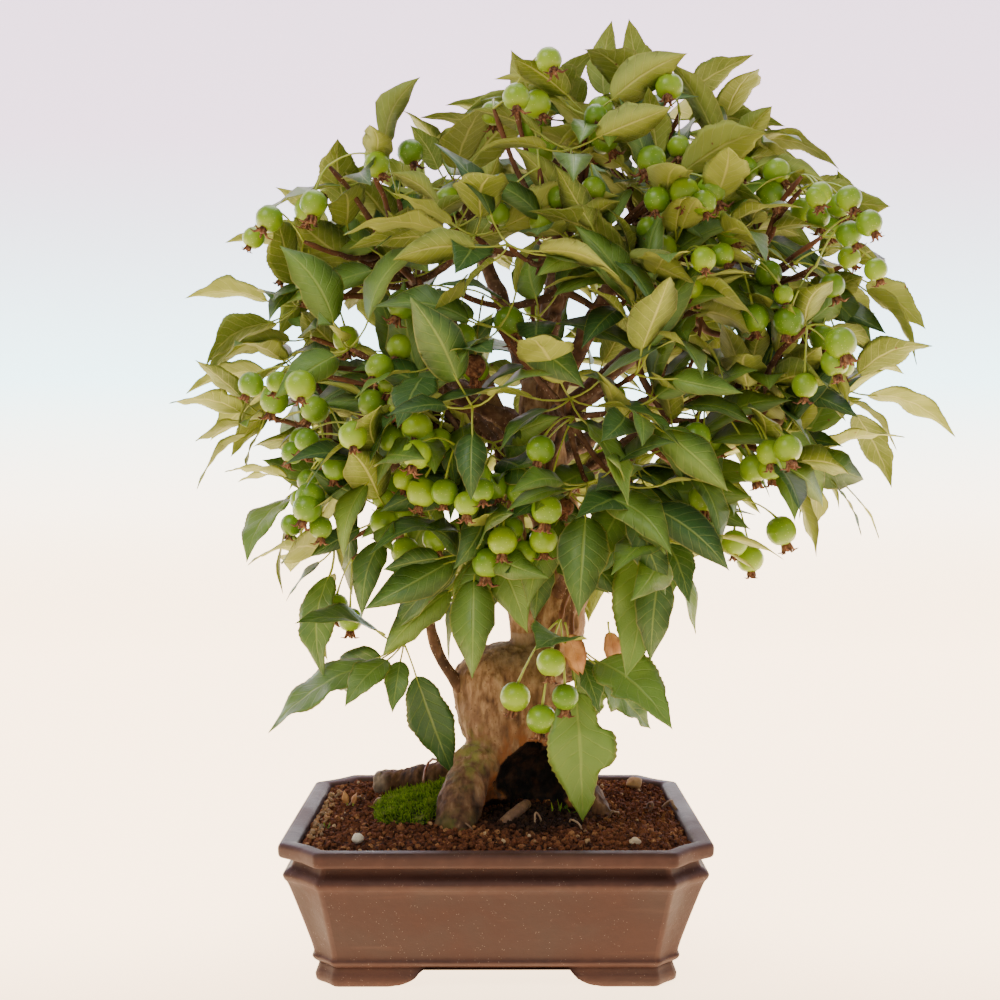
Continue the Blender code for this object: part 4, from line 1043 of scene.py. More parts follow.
@dataclass
class Pot:
    """The fired pot: rolled rim, groove, bead, tapered wall, foot moulding and four corner feet."""

    layout: Layout
    foot_height: float = 0.0092
    floor: float = 0.0058
    wall: float = 0.007
    rim_height: float = 0.008
    taper: float = 0.0138
    foot_length: float = 0.0525
    foot_curve: float = 0.021
    drain_radius: float = 0.008
    drain_spacing: float = 0.096
    fillet: float = 0.0018
    corner_dip: float = 0.06
    rounding: float = 0.36

    def outline(self, inset: Array) -> Array:
        """The plan with its cut and slightly hollow corners, drawn in by an inset.

        Args:
            inset: shape (r,), one inset for each ring.

        Returns:
            Shape (r, c, 2). Each of the 12 corners is a Bezier arc whose two ends and two guards lie on
            the straight sides: B(t) = (1-t)^2 A + 2t(1-t) C + t^2 E.
        """
        side = self.layout.pot_length / 2 - inset
        end = self.layout.pot_depth / 2 - inset
        cut = np.maximum(self.layout.corner_cut - inset * (2 - math.sqrt(2)), 0.002)
        dip = cut * (0.5 + self.corner_dip)
        quarter = np.stack([np.stack(pair, -1) for pair in (
            (side, end - cut), (side - dip, end - dip), (side - cut, end))], axis=1)
        corners = np.concatenate([quarter, (quarter * (-1, 1))[:, ::-1], quarter * (-1, -1),
                                  (quarter * (1, -1))[:, ::-1]], axis=1)
        before, after = np.roll(corners, 1, axis=1), np.roll(corners, -1, axis=1)
        reach = (np.where(np.arange(12) % 3 == 1, 2.2, 1.0) * self.fillet)[None, :, None]
        back, ahead = unit(before - corners), unit(after - corners)
        steps = np.linspace(0, 1, 6)[:, None]
        first, last = ((corners + way * reach)[:, :, None] for way in (back, ahead))
        bend = arc(first, corners[:, :, None], last, steps)
        before, after = ((corners + way * reach * 1.35)[:, :, None] for way in (back, ahead))
        return np.concatenate([before, bend, after], axis=2).reshape(len(inset), -1, 2)

    def profile(self) -> tuple[Array, Array]:
        """The wall's section, outside from the floor up and inside down again.

        Returns:
            Shape (r, 2), inset and height with every corner rounded, and shape (r,), how rubbed it is.
        """
        top = self.layout.pot_height - self.rim_height
        bead, waist, rim = top - 0.0085, self.taper + 0.004, self.layout.pot_height
        points = np.array([
            (waist + 0.003, self.foot_height, 0.0), (waist - 0.0005, self.foot_height + 0.0022, 0.5),
            (waist - 0.0014, self.foot_height + 0.004, 0.9),
            (waist + 0.0003, self.foot_height + 0.006, 0.1),
            (0.005, bead - 0.0042, 0.1), (0.003, bead - 0.0022, 0.8), (0.0022, bead, 1.0),
            (0.0034, bead + 0.002, 0.6), (0.0066, bead + 0.004, 0.0), (0.0074, top - 0.0015, 0.0),
            (0.0064, top, 0.0), (0.0012, top + 0.0004, 0.7), (0.0002, top + 0.0018, 0.8),
            (0.0, rim - 0.0018, 0.9), (0.0014, rim, 1.0), (self.layout.rim_width - 0.002, rim, 0.6),
            (self.layout.rim_width, rim - 0.0016, 0.7), (0.0115, top - 0.006, 0.0),
            (waist + self.wall, self.foot_height + self.floor + 0.002, 0.0),
            (waist + self.wall + 0.0025, self.foot_height + self.floor, 0.0),
        ])
        before, here, after = points[:-2], points[1:-1], points[2:]
        steps = np.array([0.0, 0.35, 0.65, 1.0])[None, :, None]
        first, last = (here + (other - here) * self.rounding for other in (before, after))
        bends = arc(first[:, None], here[:, None], last[:, None], steps)
        rounded = np.vstack([points[:1], bends.reshape(-1, 3), points[-1:]])
        return rounded[:, :2], rounded[:, 2]

    def body(self) -> Skin:
        """The wall and floor as one shell.

        Returns:
            The outline carried up the section.
        """
        section, rub = self.profile()
        plan = self.outline(section[:, 0])
        height = np.broadcast_to(section[:, 1:][:, None], (*plan.shape[:2], 1))
        rings = np.concatenate([plan, height], axis=-1)
        corner = np.zeros(plan.shape[1])
        corner.reshape(12, -1)[[0, 2, 3, 5, 6, 8, 9, 11], 1:-1] = 1.0
        above_foot = (section[:, 1] > 0.012)[:, None]
        worn = np.maximum(rub[:, None], corner[None] * 0.9 * above_foot)
        middle = np.array([[0, 0, self.foot_height], [0, 0, self.foot_height + self.floor]])
        return wrapped(rings[None], middle[:1], middle[1:], rub=worn[None])

    def feet(self) -> Skin:
        """The foot ring with its lower side lifted clear between the feet.

        Returns:
            The ring. The underside's height at a distance d inside the gap's end is
            H (1 - sqrt(1 - (1 - d/F)^2)), where H is the foot's height and F the curve's length: a
            boat-shaped end.
        """
        outer = self.taper + 0.006
        top = self.foot_height + self.floor / 2
        section = np.array([
            (outer, top), (outer, self.foot_height - 0.001), (outer - 0.0008, 0.0062),
            (outer - 0.0018, 0.0036), (outer - 0.0014, 0.0012), (outer - 0.0006, 0.0003),
            (outer + 0.0004, 0.0), (outer + 0.007, 0.0), (outer + 0.0134, 0.0),
            (outer + 0.014, 0.0006), (outer + 0.014, top),
        ])
        plan = self.outline(section[:, 0])
        lengths = np.cumsum(np.linalg.norm(plan[0] - np.roll(plan[0], 1, axis=0), axis=1))
        places = np.linspace(0, 1, 320, endpoint=False) * lengths[-1]
        index = np.arange(len(lengths) + 1)
        share = np.interp(places, np.concatenate([[0], lengths]), index)
        low = np.floor(share).astype(int)
        part = (share - low)[None, :, None]
        looped = np.concatenate([plan[:, -1:], plan], axis=1)
        plan = looped[:, low] * (1 - part) + looped[:, np.minimum(low + 1, len(lengths))] * part
        lift = np.maximum(self.arch(np.abs(plan[..., 0]), self.layout.pot_length),
                          self.arch(np.abs(plan[..., 1]), self.layout.pot_depth))
        height = np.maximum(section[:, 1][:, None], lift + 0.0 * plan[..., 0])
        rings = np.concatenate([plan, height[..., None]], axis=-1)
        rub = np.where((section[:, 1] < 0.005)[:, None], 0.6, 0.15) + 0 * lift
        loop = np.concatenate([rings, rings[:1]], axis=0)
        count = loop.shape[1]
        grid = np.arange(len(rings) * count).reshape(len(rings), count)
        nexts, turned = np.roll(grid, -1, axis=0), np.roll(grid, -1, axis=1)
        quads = np.stack([grid, turned, np.roll(nexts, -1, axis=1), nexts], axis=-1).reshape(-1, 4)
        uv = np.zeros((len(quads), 4, 2))
        return Skin(rings.reshape(-1, 3), quads, np.zeros((0, 3), int), uv, np.zeros((0, 3, 2)),
                    {"rub": rub.ravel()}).outward()

    def arch(self, across: Array, size: float) -> Array:
        """The height of the gap's roof.

        Args:
            across: distances from the side's middle.
            size: the side's length.

        Returns:
            The heights.
        """
        gap = size / 2 - (self.taper + 0.006) - self.foot_length
        inside = np.clip(1 - (across - gap) / self.foot_curve, 0, 1)
        return self.foot_height * (1 - np.sqrt(np.maximum(1 - inside**2, 0.0)))

    def build(self) -> None:
        """Makes the pot and drills its two drain holes."""
        skin = joined(self.body(), self.feet())
        skin.verts = skin.verts + self.layout.origin
        pot = skin.build("pot_stoneware", StonewareFinish().build(), "stoneware")
        cosine, sine = circle(40)
        hole = np.stack([cosine, sine, 0 * sine], -1) * self.drain_radius
        reach = np.array([self.drain_spacing / 2, 0, 0.008])
        signs = np.array([[(side, 1, way) for way in (-1, 1)] for side in (-1, 1)])
        ends = self.layout.origin + UP * (self.foot_height + self.floor / 2) + signs * reach
        plugs = wrapped(ends[:, :, None] + hole, ends[:, 0], ends[:, 1], rub=np.full(2, 0.2))
        cutter = plugs.build("drill", pot.data.materials[0], "stoneware")
        drill = pot.modifiers.new("drill", "BOOLEAN")
        drill.operation, drill.object, drill.solver = "DIFFERENCE", cutter, "EXACT"
        bake(pot)
        bpy.data.objects.remove(cutter)
        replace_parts(pot, "pot")


def bake(piece: Object) -> None:
    """Turns a piece's modifiers into its mesh.

    Args:
        piece: the object.
    """
    graph = bpy.context.evaluated_depsgraph_get()
    mesh = bpy.data.meshes.new_from_object(piece.evaluated_get(graph))
    piece.modifiers.clear()
    piece.data = mesh


# ---- soil, moss and stones


def grains(centres: Array, sizes: Array, rng: Random, **marks: Array) -> Skin:
    """Small angular lumps of 18 faces: two rings of six and two poles, pushed about and turned.

    Args:
        centres: shape (n, 3).
        sizes: shape (n,), the mean radius.
        rng: seeded numbers.
        **marks: numbers for the material, of shape (n,).

    Returns:
        The lumps.
    """
    n = len(centres)
    ring = np.stack(circle(6), -1)
    turned = ring @ np.array([[0.866, 0.5], [-0.5, 0.866]])
    low, high = (np.concatenate([plan * 0.88, np.full((6, 1), level)], axis=1)
                 for plan, level in ((ring, -0.42), (turned, 0.42)))
    shape = np.concatenate([low, high, [[0, 0, -0.95], [0, 0, 0.95]]])
    lumps = shape[None] * (1 + rng.uniform(-0.24, 0.24, (n, 14, 1))) * rng.uniform(0.75, 1.2, (n, 1, 3))
    turn, _ = np.linalg.qr(rng.normal(size=(n, 3, 3)))
    turn *= np.sign(np.linalg.det(turn))[:, None, None]
    lumps = np.einsum("nij,nkj->nki", turn, lumps) * sizes[:, None, None] + centres[:, None]
    return wrapped(lumps[:, :12].reshape(n, 2, 6, 3), lumps[:, 12], lumps[:, 13], **marks)


def refinish(node: Object, finish: Material) -> None:
    """Gives an object one finish only."""
    node.data.materials.clear()
    node.data.materials.append(finish)


@dataclass
class SoilBed:
    """The packed soil body under a few thousand loose crumbs."""

    layout: Layout
    pitch: float = 0.0027
    reach: float = 0.11
    layers: tuple[Point, ...] = ((0.0, 1.0, 1.0), (0.001, 0.95, 1.45))
    smallest: float = 0.0011
    more: float = 0.00115
    uneven: float = 0.0011
    pale_share: float = 0.03
    # A patch of crumbs darkened nearly to black before the trunk's foot: its middle and half sizes.
    patch_place: Point = (0.022, -0.03, 0.0)
    patch_size: tuple[float, float] = (0.036, 0.03)
    seed: int = 4

    def inside(self, x: Array, y: Array, margin: float) -> Array:
        """Whether places lie inside the rim.

        Args:
            x: places measured from the pot's middle.
            y: the same, from front to back.
            margin: how far inside.

        Returns:
            True or False for each place.
        """
        side = self.layout.pot_length / 2 - self.layout.rim_width - margin
        end = self.layout.pot_depth / 2 - self.layout.rim_width - margin
        cut = self.layout.corner_cut - self.layout.rim_width * (2 - math.sqrt(2)) + margin * 0.4
        return (np.abs(x) < side) & (np.abs(y) < end) & (np.abs(x) + np.abs(y) < side + end - cut)

    def build(self) -> None:
        """Dresses the soil body and scatters crumbs on it: two jittered grids, one over the other.

        A layer is how high it lies, the size of its crumbs and the width of its grid.
        """
        refinish(bpy.data.objects["soil"], CrumbFinish("soil_body").build())
        rng = np.random.default_rng(self.seed)
        spots, sizes = [], []
        for lift, size, wide in self.layers:
            steps = np.arange(-self.reach, self.reach, self.pitch * wide)
            x, y = (axis.ravel() for axis in np.meshgrid(steps, steps))
            x = x + rng.uniform(-0.5, 0.5, x.size) * self.pitch * wide
            y = y + rng.uniform(-0.5, 0.5, y.size) * self.pitch * wide
            keep = self.inside(x, y, 0.0014)
            x, y = x[keep], y[keep]
            sizes.append((self.smallest + self.more * rng.random(x.size) ** 1.8) * size)
            waves = self.uneven * rough_noise(np.stack([x * 60, y * 60, 0 * x], -1), 2, 9)
            spots.append(np.stack([x, y, self.layout.bed(x, y) + waves + lift + 0.0002], -1))
        places = np.vstack(spots) + self.layout.origin
        tone = rng.random(len(places)) ** 1.15
        tone[rng.random(len(places)) < self.pale_share] = 1.0
        # How far each crumb lies inside the dark patch before the trunk's foot.
        near = places - self.layout.origin - np.array(self.patch_place)
        off = np.hypot(*(near[:, :2] / self.patch_size).T) + 0.15 * soft_noise(near * 150)
        skin = grains(places, np.concatenate(sizes), rng, tone=tone, wet=smoothstep(1.15, 0.7, off))
        crumbs = skin.build("soil_crumbs", CrumbFinish().build(), "soil", smooth=False)
        log.info("%s: %d crumbs", crumbs.name, len(places))


@dataclass
class Grit:
    """Pale grains on the soil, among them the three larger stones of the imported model."""

    layout: Layout
    stones: tuple[tuple[str, float], ...] = (
        ("pebble_front_left", 1.0), ("pebble_front_right", 0.75), ("pebble_back_right", 0.45))
    lumpy: float = 0.34
    count: int = 150
    left_edge: float = -0.09
    clear: float = 0.045
    seed: int = 8

    def build(self) -> None:
        """Sets the stones and scatters the grains, thickest along the left rim."""
        rng = np.random.default_rng(self.seed)
        finish = StoneFinish().build()
        for name, tone in self.stones:
            self.stone(name, tone, finish)
        x = np.where(rng.random(self.count) < 0.55, -0.0975 + 0.007 * rng.random(self.count) ** 2,
                     rng.uniform(-0.095, 0.098, self.count))
        y = np.where(x < self.left_edge, rng.uniform(-0.062, 0.05, self.count),
                     rng.uniform(-0.082, 0.07, self.count))
        keep = np.hypot(x - 0.01, y) > self.clear
        x, y = x[keep], y[keep]
        left = x < self.left_edge
        places = np.stack([x, y, self.layout.bed(x, y) + 0.0018 + 0.0012 * left], -1) + self.layout.origin
        sizes = rng.uniform(0.0006, 0.0015, len(x))
        tone = np.where(left, rng.uniform(0.12, 0.45, len(x)), rng.uniform(0.2, 0.9, len(x)))
        grains(places, sizes, rng, tone=tone).build("grit_grains", finish, "stone", smooth=False)

    def stone(self, node: str, tone: float, finish: Material) -> None:
        """One stone: a ball with each radius changed by noise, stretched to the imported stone's box.

        Args:
            node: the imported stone.
            tone: how pale it is, which also picks its noise.
            finish: its material.
        """
        low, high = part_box(node)
        centre, half = np.array((low + high) / 2), np.array(high - low) / 2
        lift = np.linspace(-np.pi / 2, np.pi / 2, 16)[1:-1, None]
        cosine, sine = circle(24)
        ball = np.stack(np.broadcast_arrays(np.cos(lift) * cosine, np.cos(lift) * sine, np.sin(lift)), -1)
        rings, ends = (
            centre + form * half * (1 + self.lumpy * rough_noise(form * 1.3, 3, int(tone * 100)))[..., None]
            for form in (ball, np.array([-UP, UP])))
        skin = wrapped(rings[None], ends[:1], ends[1:], tone=np.array([tone]))
        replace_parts(skin.build(node + "_stone", finish, "stone"), node)


@dataclass
class Moss:
    """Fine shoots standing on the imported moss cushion, and a few blades of grass by the trunk."""

    layout: Layout
    shoots: int = 5200
    climbing: int = 1500
    girth: float = 0.00036
    bank: Route = ((-1.85, -0.3, 0.22), (-1.45, -0.22, 0.42), (-1.08, -0.3, 0.66))
    bank_girth: float = 0.0062
    grass_place: tuple[float, float] = (0.036, -0.019)
    seedling_place: tuple[float, float] = (-0.091, -0.035)
    seed: int = 15

    def build(self) -> None:
        """Plants the shoots, a tuft of grass by the trunk and a seedling in the corner."""
        rng = np.random.default_rng(self.seed)
        finish = MossFinish().build()
        node = bpy.data.objects["moss"]
        # The cushion carries no tone mark, so it takes the dark foot colour: painted shade under the shoots.
        refinish(node, finish)
        cushion = self.on_cushion(node, rng)
        bank, climbing = self.on_bank(rng)
        shoots = self.blades(*(np.concatenate(pair) for pair in zip(cushion, climbing)), self.girth, rng)
        joined(shoots, bank).build("moss_shoots", finish, "moss")
        feet = rng.normal(size=(9, 3)) * np.array([0.004, 0.003, 0]) + self.layout.on_soil(*self.grass_place)
        ways = unit(rng.normal(size=(9, 3)) * 0.4 + UP)
        grass = self.blades(feet, ways, rng.uniform(0.004, 0.009, 9), 0.0006, rng)
        feet = np.repeat(self.layout.on_soil(*self.seedling_place)[None], 4, 0)
        ways = unit(rng.normal(size=(4, 3)) * 0.7 + UP)
        seedling = self.blades(feet, ways, rng.uniform(0.004, 0.006, 4), 0.0009, rng)
        joined(grass, seedling).build("grass_blades", finish, "moss")

    def on_cushion(self, node: Object, rng: Random) -> tuple[Array, Array, Array]:
        """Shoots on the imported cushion's upward faces, picked by their area.

        Args:
            node: the cushion.
            rng: seeded numbers.

        Returns:
            The shoots' feet, ways and lengths.
        """
        points, tris = welded(node)
        a, b, c = (points[tris[:, i]] for i in range(3))
        cross = np.cross(b - a, c - a)
        normal = unit(cross)
        above = (normal[:, 2] > 0.12) * (a[:, 2] > self.layout.soil_edge + 0.003)
        weight = np.linalg.norm(cross, axis=1) * above
        pick = rng.choice(len(tris), self.shoots, p=weight / weight.sum())
        s, t = rng.random(self.shoots), rng.random(self.shoots)
        s, t = (np.where(s + t > 1, 1 - share, share)[:, None] for share in (s, t))
        feet = a[pick] + (b[pick] - a[pick]) * s + (c[pick] - a[pick]) * t
        ways = unit(normal[pick] + UP * 0.8 + rng.normal(size=(self.shoots, 3)) * 0.42)
        lengths = rng.uniform(0.0012, 0.0042, self.shoots) * (0.7 + 0.5 * soft_noise(feet * 170, 3))
        return feet, ways, lengths

    def on_bank(self, rng: Random) -> tuple[Skin, tuple[Array, Array, Array]]:
        """The bank of moss that climbs the left root, with its shoots.

        Args:
            rng: seeded numbers.

        Returns:
            The bank, and the shoots' feet, ways and lengths.
        """
        ridge = smooth_path(self.layout.trunk(self.bank), 30)
        girth = np.sin(np.linspace(0.5, 2.5, 30)) * self.bank_girth
        # The bank is toned low: dark with the shoots' painted shade.
        bank = rods(ridge[None], girth[None], 16, 0.3, tone=np.array([0.15]))
        pick = rng.integers(0, 30 * 16, self.climbing)
        root, middle = bank.verts[pick], ridge[pick // 16]
        ways = unit(unit(root - middle) + UP * 0.8 + rng.normal(size=root.shape) * 0.4)
        keep = (root - middle)[:, 2] > -0.001
        feet = (root + rng.normal(size=root.shape) * 0.0006)[keep]
        return bank, (feet, ways[keep], rng.uniform(0.0015, 0.004, keep.sum()))

    def blades(self, feet: Array, ways: Array, lengths: Array, radius: float, rng: Random) -> Skin:
        """Thin bent blades of three sides.

        Args:
            feet: shape (n, 3).
            ways: shape (n, 3).
            lengths: shape (n,).
            radius: a blade's mean radius at its foot.
            rng: seeded numbers.

        Returns:
            Blades of a foot, two rings and a tip.
        """
        bend = rng.normal(size=feet.shape) * lengths[:, None] * 0.22
        rise = ways * lengths[:, None]
        paths = np.stack([feet - rise * 0.2, feet + rise * 0.5, feet + rise + bend], axis=1)
        shape = np.array([1.0, 0.85, 0.18])
        # Painted shade: dark at the foot of each blade, bright at its tip.
        tone = np.broadcast_to(np.array([0.05, 0.55, 1.0])[None, :, None], (len(feet), 3, 3))
        tone = np.clip(tone * rng.uniform(0.6, 1.1, (len(feet), 1, 1)), 0, 1)
        return rods(paths, radius * shape[None] * rng.uniform(0.7, 1.3, (len(feet), 1)), 3, tone=tone)


# ---- wood


@dataclass
class Wood:
    """Trunk, surface roots, limbs and twigs."""

    layout: Layout
    sections: tuple[tuple[float, ...], ...] = (
        (-0.35, 0.0, 0.05, 0.95, 0.85), (0.2, 0.0, 0.05, 1.12, 0.95), (0.8, 0.0, 0.03, 1.02, 0.88),
        (1.35, 0.05, 0.0, 0.92, 0.86), (1.8, 0.02, 0.0, 0.98, 0.92), (2.32, 0.02, 0.0, 1.05, 0.97),
        (2.83, 0.04, 0.0, 1.05, 0.95), (3.19, 0.14, 0.02, 0.92, 0.82), (3.4, 0.3, 0.05, 0.64, 0.58),
        (3.48, 0.42, 0.08, 0.3, 0.26),
    )
    hollow_place: Point = (0.45, -0.95, 0.62)
    hollow_size: Point = (0.7, 0.62, 1.0)
    roots: tuple[Branch, ...] = (
        (0.24, 0.26, ((-0.3, 0.2, 1.0), (-1.1, 0.62, 0.76), (-1.95, 1.05, 0.52), (-2.68, 1.42, 0.36))),
        (0.5, 0.35, ((-0.35, -0.2, 1.3), (-0.75, -0.85, 1.0), (-0.98, -1.4, 0.52), (-1.05, -1.72, -0.3))),
        (0.55, 0.25, ((0.5, 0.0, 1.05), (1.2, -0.25, 0.55), (1.65, -0.5, 0.15), (1.85, -0.62, -0.3))),
        (0.55, 0.28, ((0.2, 0.3, 1.0), (0.45, 1.1, 0.5), (0.6, 1.6, 0.15), (0.65, 1.85, -0.3))),
    )
    stub: Branch = (
        0.1, 0.13, ((0.3, -0.7, 0.42), (0.1, -1.15, 0.36), (-0.25, -1.62, 0.14), (-0.45, -1.9, -0.3)))
    stems: tuple[Branch, ...] = (
        (0.0165, 0.0115, ((0.13, 0.02, 0.19), (0.16, 0.04, 0.26), (0.16, 0.05, 0.35), (0.13, 0.04, 0.44),
                          (0.12, 0.02, 0.52), (0.12, 0.01, 0.555))),
        (0.009, 0.003, ((0.09, 0.0, 0.19), (0.06, -0.02, 0.3), (0.04, -0.01, 0.4), (0.01, 0.01, 0.5),
                          (-0.07, 0.02, 0.59), (-0.2, 0.02, 0.67), (-0.29, 0.01, 0.72))),
        (0.0085, 0.003, ((0.16, 0.02, 0.25), (0.27, -0.04, 0.33), (0.4, -0.08, 0.4), (0.5, -0.11, 0.45),
                          (0.65, -0.12, 0.49), (0.78, -0.09, 0.52))),
    )
    limbs: tuple[Branch, ...] = (
        (0.0032, 0.002, ((-0.07, -0.03, 0.15), (-0.155, -0.06, 0.22), (-0.185, -0.07, 0.28),
                         (-0.23, -0.06, 0.345), (-0.3, -0.05, 0.41), (-0.37, -0.02, 0.46))),
        (0.006, 0.0026, ((0.12, 0.02, 0.52), (0.04, 0.07, 0.62), (-0.03, 0.1, 0.72), (-0.08, 0.08, 0.79))),
        (0.006, 0.0026, ((0.12, 0.02, 0.52), (0.14, 0.06, 0.64), (0.18, 0.07, 0.76), (0.18, 0.03, 0.83))),
        (0.006, 0.0026, ((0.13, 0.02, 0.52), (0.23, -0.02, 0.61), (0.35, -0.05, 0.73),
                         (0.41, -0.03, 0.82))),
        (0.006, 0.0026, ((0.14, 0.02, 0.5), (0.33, 0.06, 0.58), (0.53, 0.09, 0.65), (0.73, 0.07, 0.69))),
        (0.0055, 0.0026, ((0.09, 0.01, 0.49), (-0.09, -0.04, 0.53), (-0.28, -0.05, 0.575))),
        (0.005, 0.0024, ((0.04, -0.01, 0.4), (-0.16, -0.04, 0.43), (-0.33, -0.02, 0.46),
                         (-0.45, 0.0, 0.48))),
        (0.0055, 0.0026, ((0.09, 0.04, 0.49), (-0.05, 0.24, 0.54), (-0.21, 0.45, 0.59))),
        (0.0055, 0.0026, ((0.13, 0.05, 0.48), (0.15, 0.33, 0.56), (0.15, 0.58, 0.61))),
        (0.0055, 0.0026, ((0.15, 0.05, 0.45), (0.33, 0.27, 0.51), (0.51, 0.45, 0.56))),
        (0.005, 0.0024, ((0.16, 0.06, 0.34), (0.21, 0.3, 0.375), (0.27, 0.46, 0.4))),
        (0.0055, 0.0026, ((0.13, 0.0, 0.48), (0.15, -0.24, 0.51), (0.17, -0.46, 0.505))),
        (0.005, 0.0026, ((0.12, 0.0, 0.52), (0.14, -0.21, 0.62), (0.17, -0.33, 0.7))),
        (0.005, 0.0024, ((0.08, 0.0, 0.44), (-0.02, -0.21, 0.49), (-0.14, -0.36, 0.52))),
        (0.005, 0.0024, ((0.16, 0.01, 0.41), (0.28, -0.21, 0.46), (0.41, -0.39, 0.5))),
        (0.0045, 0.0024, ((0.16, 0.0, 0.28), (0.19, -0.18, 0.32), (0.21, -0.3, 0.31))),
    )
    shoots: tuple[Route, ...] = (
        ((0.452, -0.36, 0.56), (0.446, -0.37, 0.6), (0.421, -0.38, 0.64)),
        ((0.407, -0.34, 0.575), (0.47, -0.36, 0.615), (0.543, -0.37, 0.655)),
        ((0.43, -0.3, 0.52), (0.48, -0.33, 0.58), (0.5, -0.35, 0.645)),
        ((0.1, -0.2, 0.56), (0.09, -0.26, 0.64), (0.11, -0.28, 0.7)),
        ((-0.12, -0.22, 0.52), (-0.17, -0.26, 0.59), (-0.18, -0.28, 0.65)),
    )
    strands: tuple[Route, ...] = (
        ((-1.3, 0.55, 0.95), (-1.05, 0.4, 1.22), (-0.78, 0.2, 1.34)),
        ((-0.86, 0.05, 0.75), (-0.98, -0.05, 0.98), (-0.94, -0.1, 1.12)),
    )
    rootlet_feet: tuple[tuple[float, float], ...] = (
        (-0.078, 0.022), (-0.068, 0.008), (-0.05, 0.01), (0.094, 0.012), (0.086, -0.004),
        (-0.028, -0.03), (0.02, -0.046), (0.058, -0.03), (-0.012, -0.052), (0.046, -0.052),
    )
    rootlet_seed: int = 61
    voxel: float = 0.00095

    def trunk_shells(self) -> list[Skin]:
        """The trunk, roots and stems as overlapping shells.

        Returns:
            The shells. The trunk's ring point is middle + R (wide cos a, deep sin a) (1 + noise), and its
            sizes run smoothly through the sections.
        """
        rows = smooth_path(np.array(self.sections), 46)
        middle = self.layout.trunk(rows[:, [1, 2, 0]])
        around = np.stack(circle(56), -1)
        at = np.concatenate([np.broadcast_to(around[None] * 1.3, (46, 56, 2)),
                             np.broadcast_to(rows[:, :1, None] * 1.5, (46, 56, 1))], axis=-1)
        radius = self.layout.trunk_radius
        swell = radius * (1 + 0.08 * soft_noise(at, 3) + 0.03 * soft_noise(at * 2.7, 4))
        spread = around[None] * rows[:, None, 3:5] * swell[..., None]
        rings = middle[:, None] + np.concatenate([spread, np.zeros((46, 56, 1))], axis=-1)
        shells = [wrapped(rings[None], middle[:1], middle[-1:] + UP * 0.001)]
        for first, last, route in self.roots:
            path = smooth_path(self.layout.trunk(route), 40)
            thick = np.linspace(first, last, 40) * radius * (1 + 0.1 * soft_noise(path * 150, 6))
            shells.append(rods(path[None], thick[None], 18, 0.1))
        for first, last, route in self.stems:
            path = smooth_path(self.layout.crown(route), 90)
            path = path + 0.0012 * wander(path, 60, (7, 8, 9))
            thick = np.linspace(first, last, 90) * (1 + 0.07 * soft_noise(path * 90, 2))
            thick[:10] *= np.linspace(1.35, 1.0, 10)
            shells.append(rods(path[None], thick[None], 16, 0.08))
        return shells

    def build_trunk(self) -> None:
        """Fuses the shells by a voxel remesh, then carves the hollow and raises the bark."""
        finish = BarkFinish().build()
        trunk = joined(*self.trunk_shells()).build("trunk_wood", finish, "bark")
        fuse = trunk.modifiers.new("fuse", "REMESH")
        fuse.mode, fuse.voxel_size = "VOXEL", self.voxel
        ease = trunk.modifiers.new("ease", "SMOOTH")
        ease.factor, ease.iterations = 0.5, 5
        bake(trunk)
        mesh = trunk.data
        both = np.empty((2, len(mesh.vertices) * 3), np.float32)
        mesh.vertices.foreach_get("co", both[0])
        mesh.vertices.foreach_get("normal", both[1])
        places, marks = self.barked(*both.reshape(2, -1, 3).astype(float))
        mesh.vertices.foreach_set("co", places.astype(np.float32).ravel())
        for key, values in marks.items():
            mesh.attributes.new(key, "FLOAT", "POINT").data.foreach_set("value", values.astype(np.float32))
        mesh.shade_smooth()
        refinish(trunk, finish)
        mesh.update()
        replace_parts(trunk, "tree_wood")
        log.info("trunk_wood: %d faces once fused", len(mesh.polygons))

    def barked(self, places: Array, normals: Array) -> tuple[Array, dict[str, Array]]:
        """Moves the trunk's points to carve the hollow and raise its bark.

        Args:
            places: shape (n, 3), the fused trunk's points.
            normals: shape (n, 3).

        Returns:
            The moved points, and marks for the hollow's painted shade, flakes, green tint and old dry wood.
            Inside the hollow's outline q = (x/a)^2 + (z/c)^2 < 1, a front point goes back to y0 + b sqrt(1 -
            q).
            Elsewhere a point moves out along its normal by upright fibres, lumps and the steps of flakes.
        """
        local = (places - self.layout.trunk_foot()) / self.layout.trunk_radius
        wobble = 0.34 * rough_noise(places * 110, 3, 21)
        gap = (local - np.array(self.hollow_place)) / np.array(self.hollow_size)
        disc = (gap[:, 0] + wobble) ** 2 + (gap[:, 2] + 0.6 * wobble) ** 2
        wide = ((local[:, 0] - 0.2 + wobble) / 1.15) ** 2 + ((local[:, 2] - 0.05) / 0.55) ** 2
        front = (normals[:, 1] < 0.35) & (local[:, 1] < 0.2) & (local[:, 0] > -0.55)
        depth = np.maximum(np.sqrt(np.clip(1 - disc, 0, 1)) * 0.75, np.sqrt(np.clip(1 - wide, 0, 1)) * 0.32)
        depth = np.where(front, depth, 0.0)
        back = self.hollow_place[1] + 0.25 + depth * 1.0
        sunk = np.where(depth > 0, np.maximum(local[:, 1], np.minimum(back, 0.35)), local[:, 1])
        moved = places.copy()
        moved[:, 1] += (sunk - local[:, 1]) * self.layout.trunk_radius
        thick = smoothstep(0.06, -0.01, places[:, 2] - self.layout.soil_edge - 0.07)
        fibre = rough_noise(places * np.array([260, 260, 38]), 3, 31)
        lumps = rough_noise(places * 75, 3, 32)
        plates = rough_noise(places * np.array([120, 120, 90]), 3, 33)
        steps = smoothstep(0.02, 0.1, plates) - 0.5
        rise = (0.0006 * fibre + 0.0017 * lumps + 0.0007 * steps) * (0.3 + 0.7 * thick)
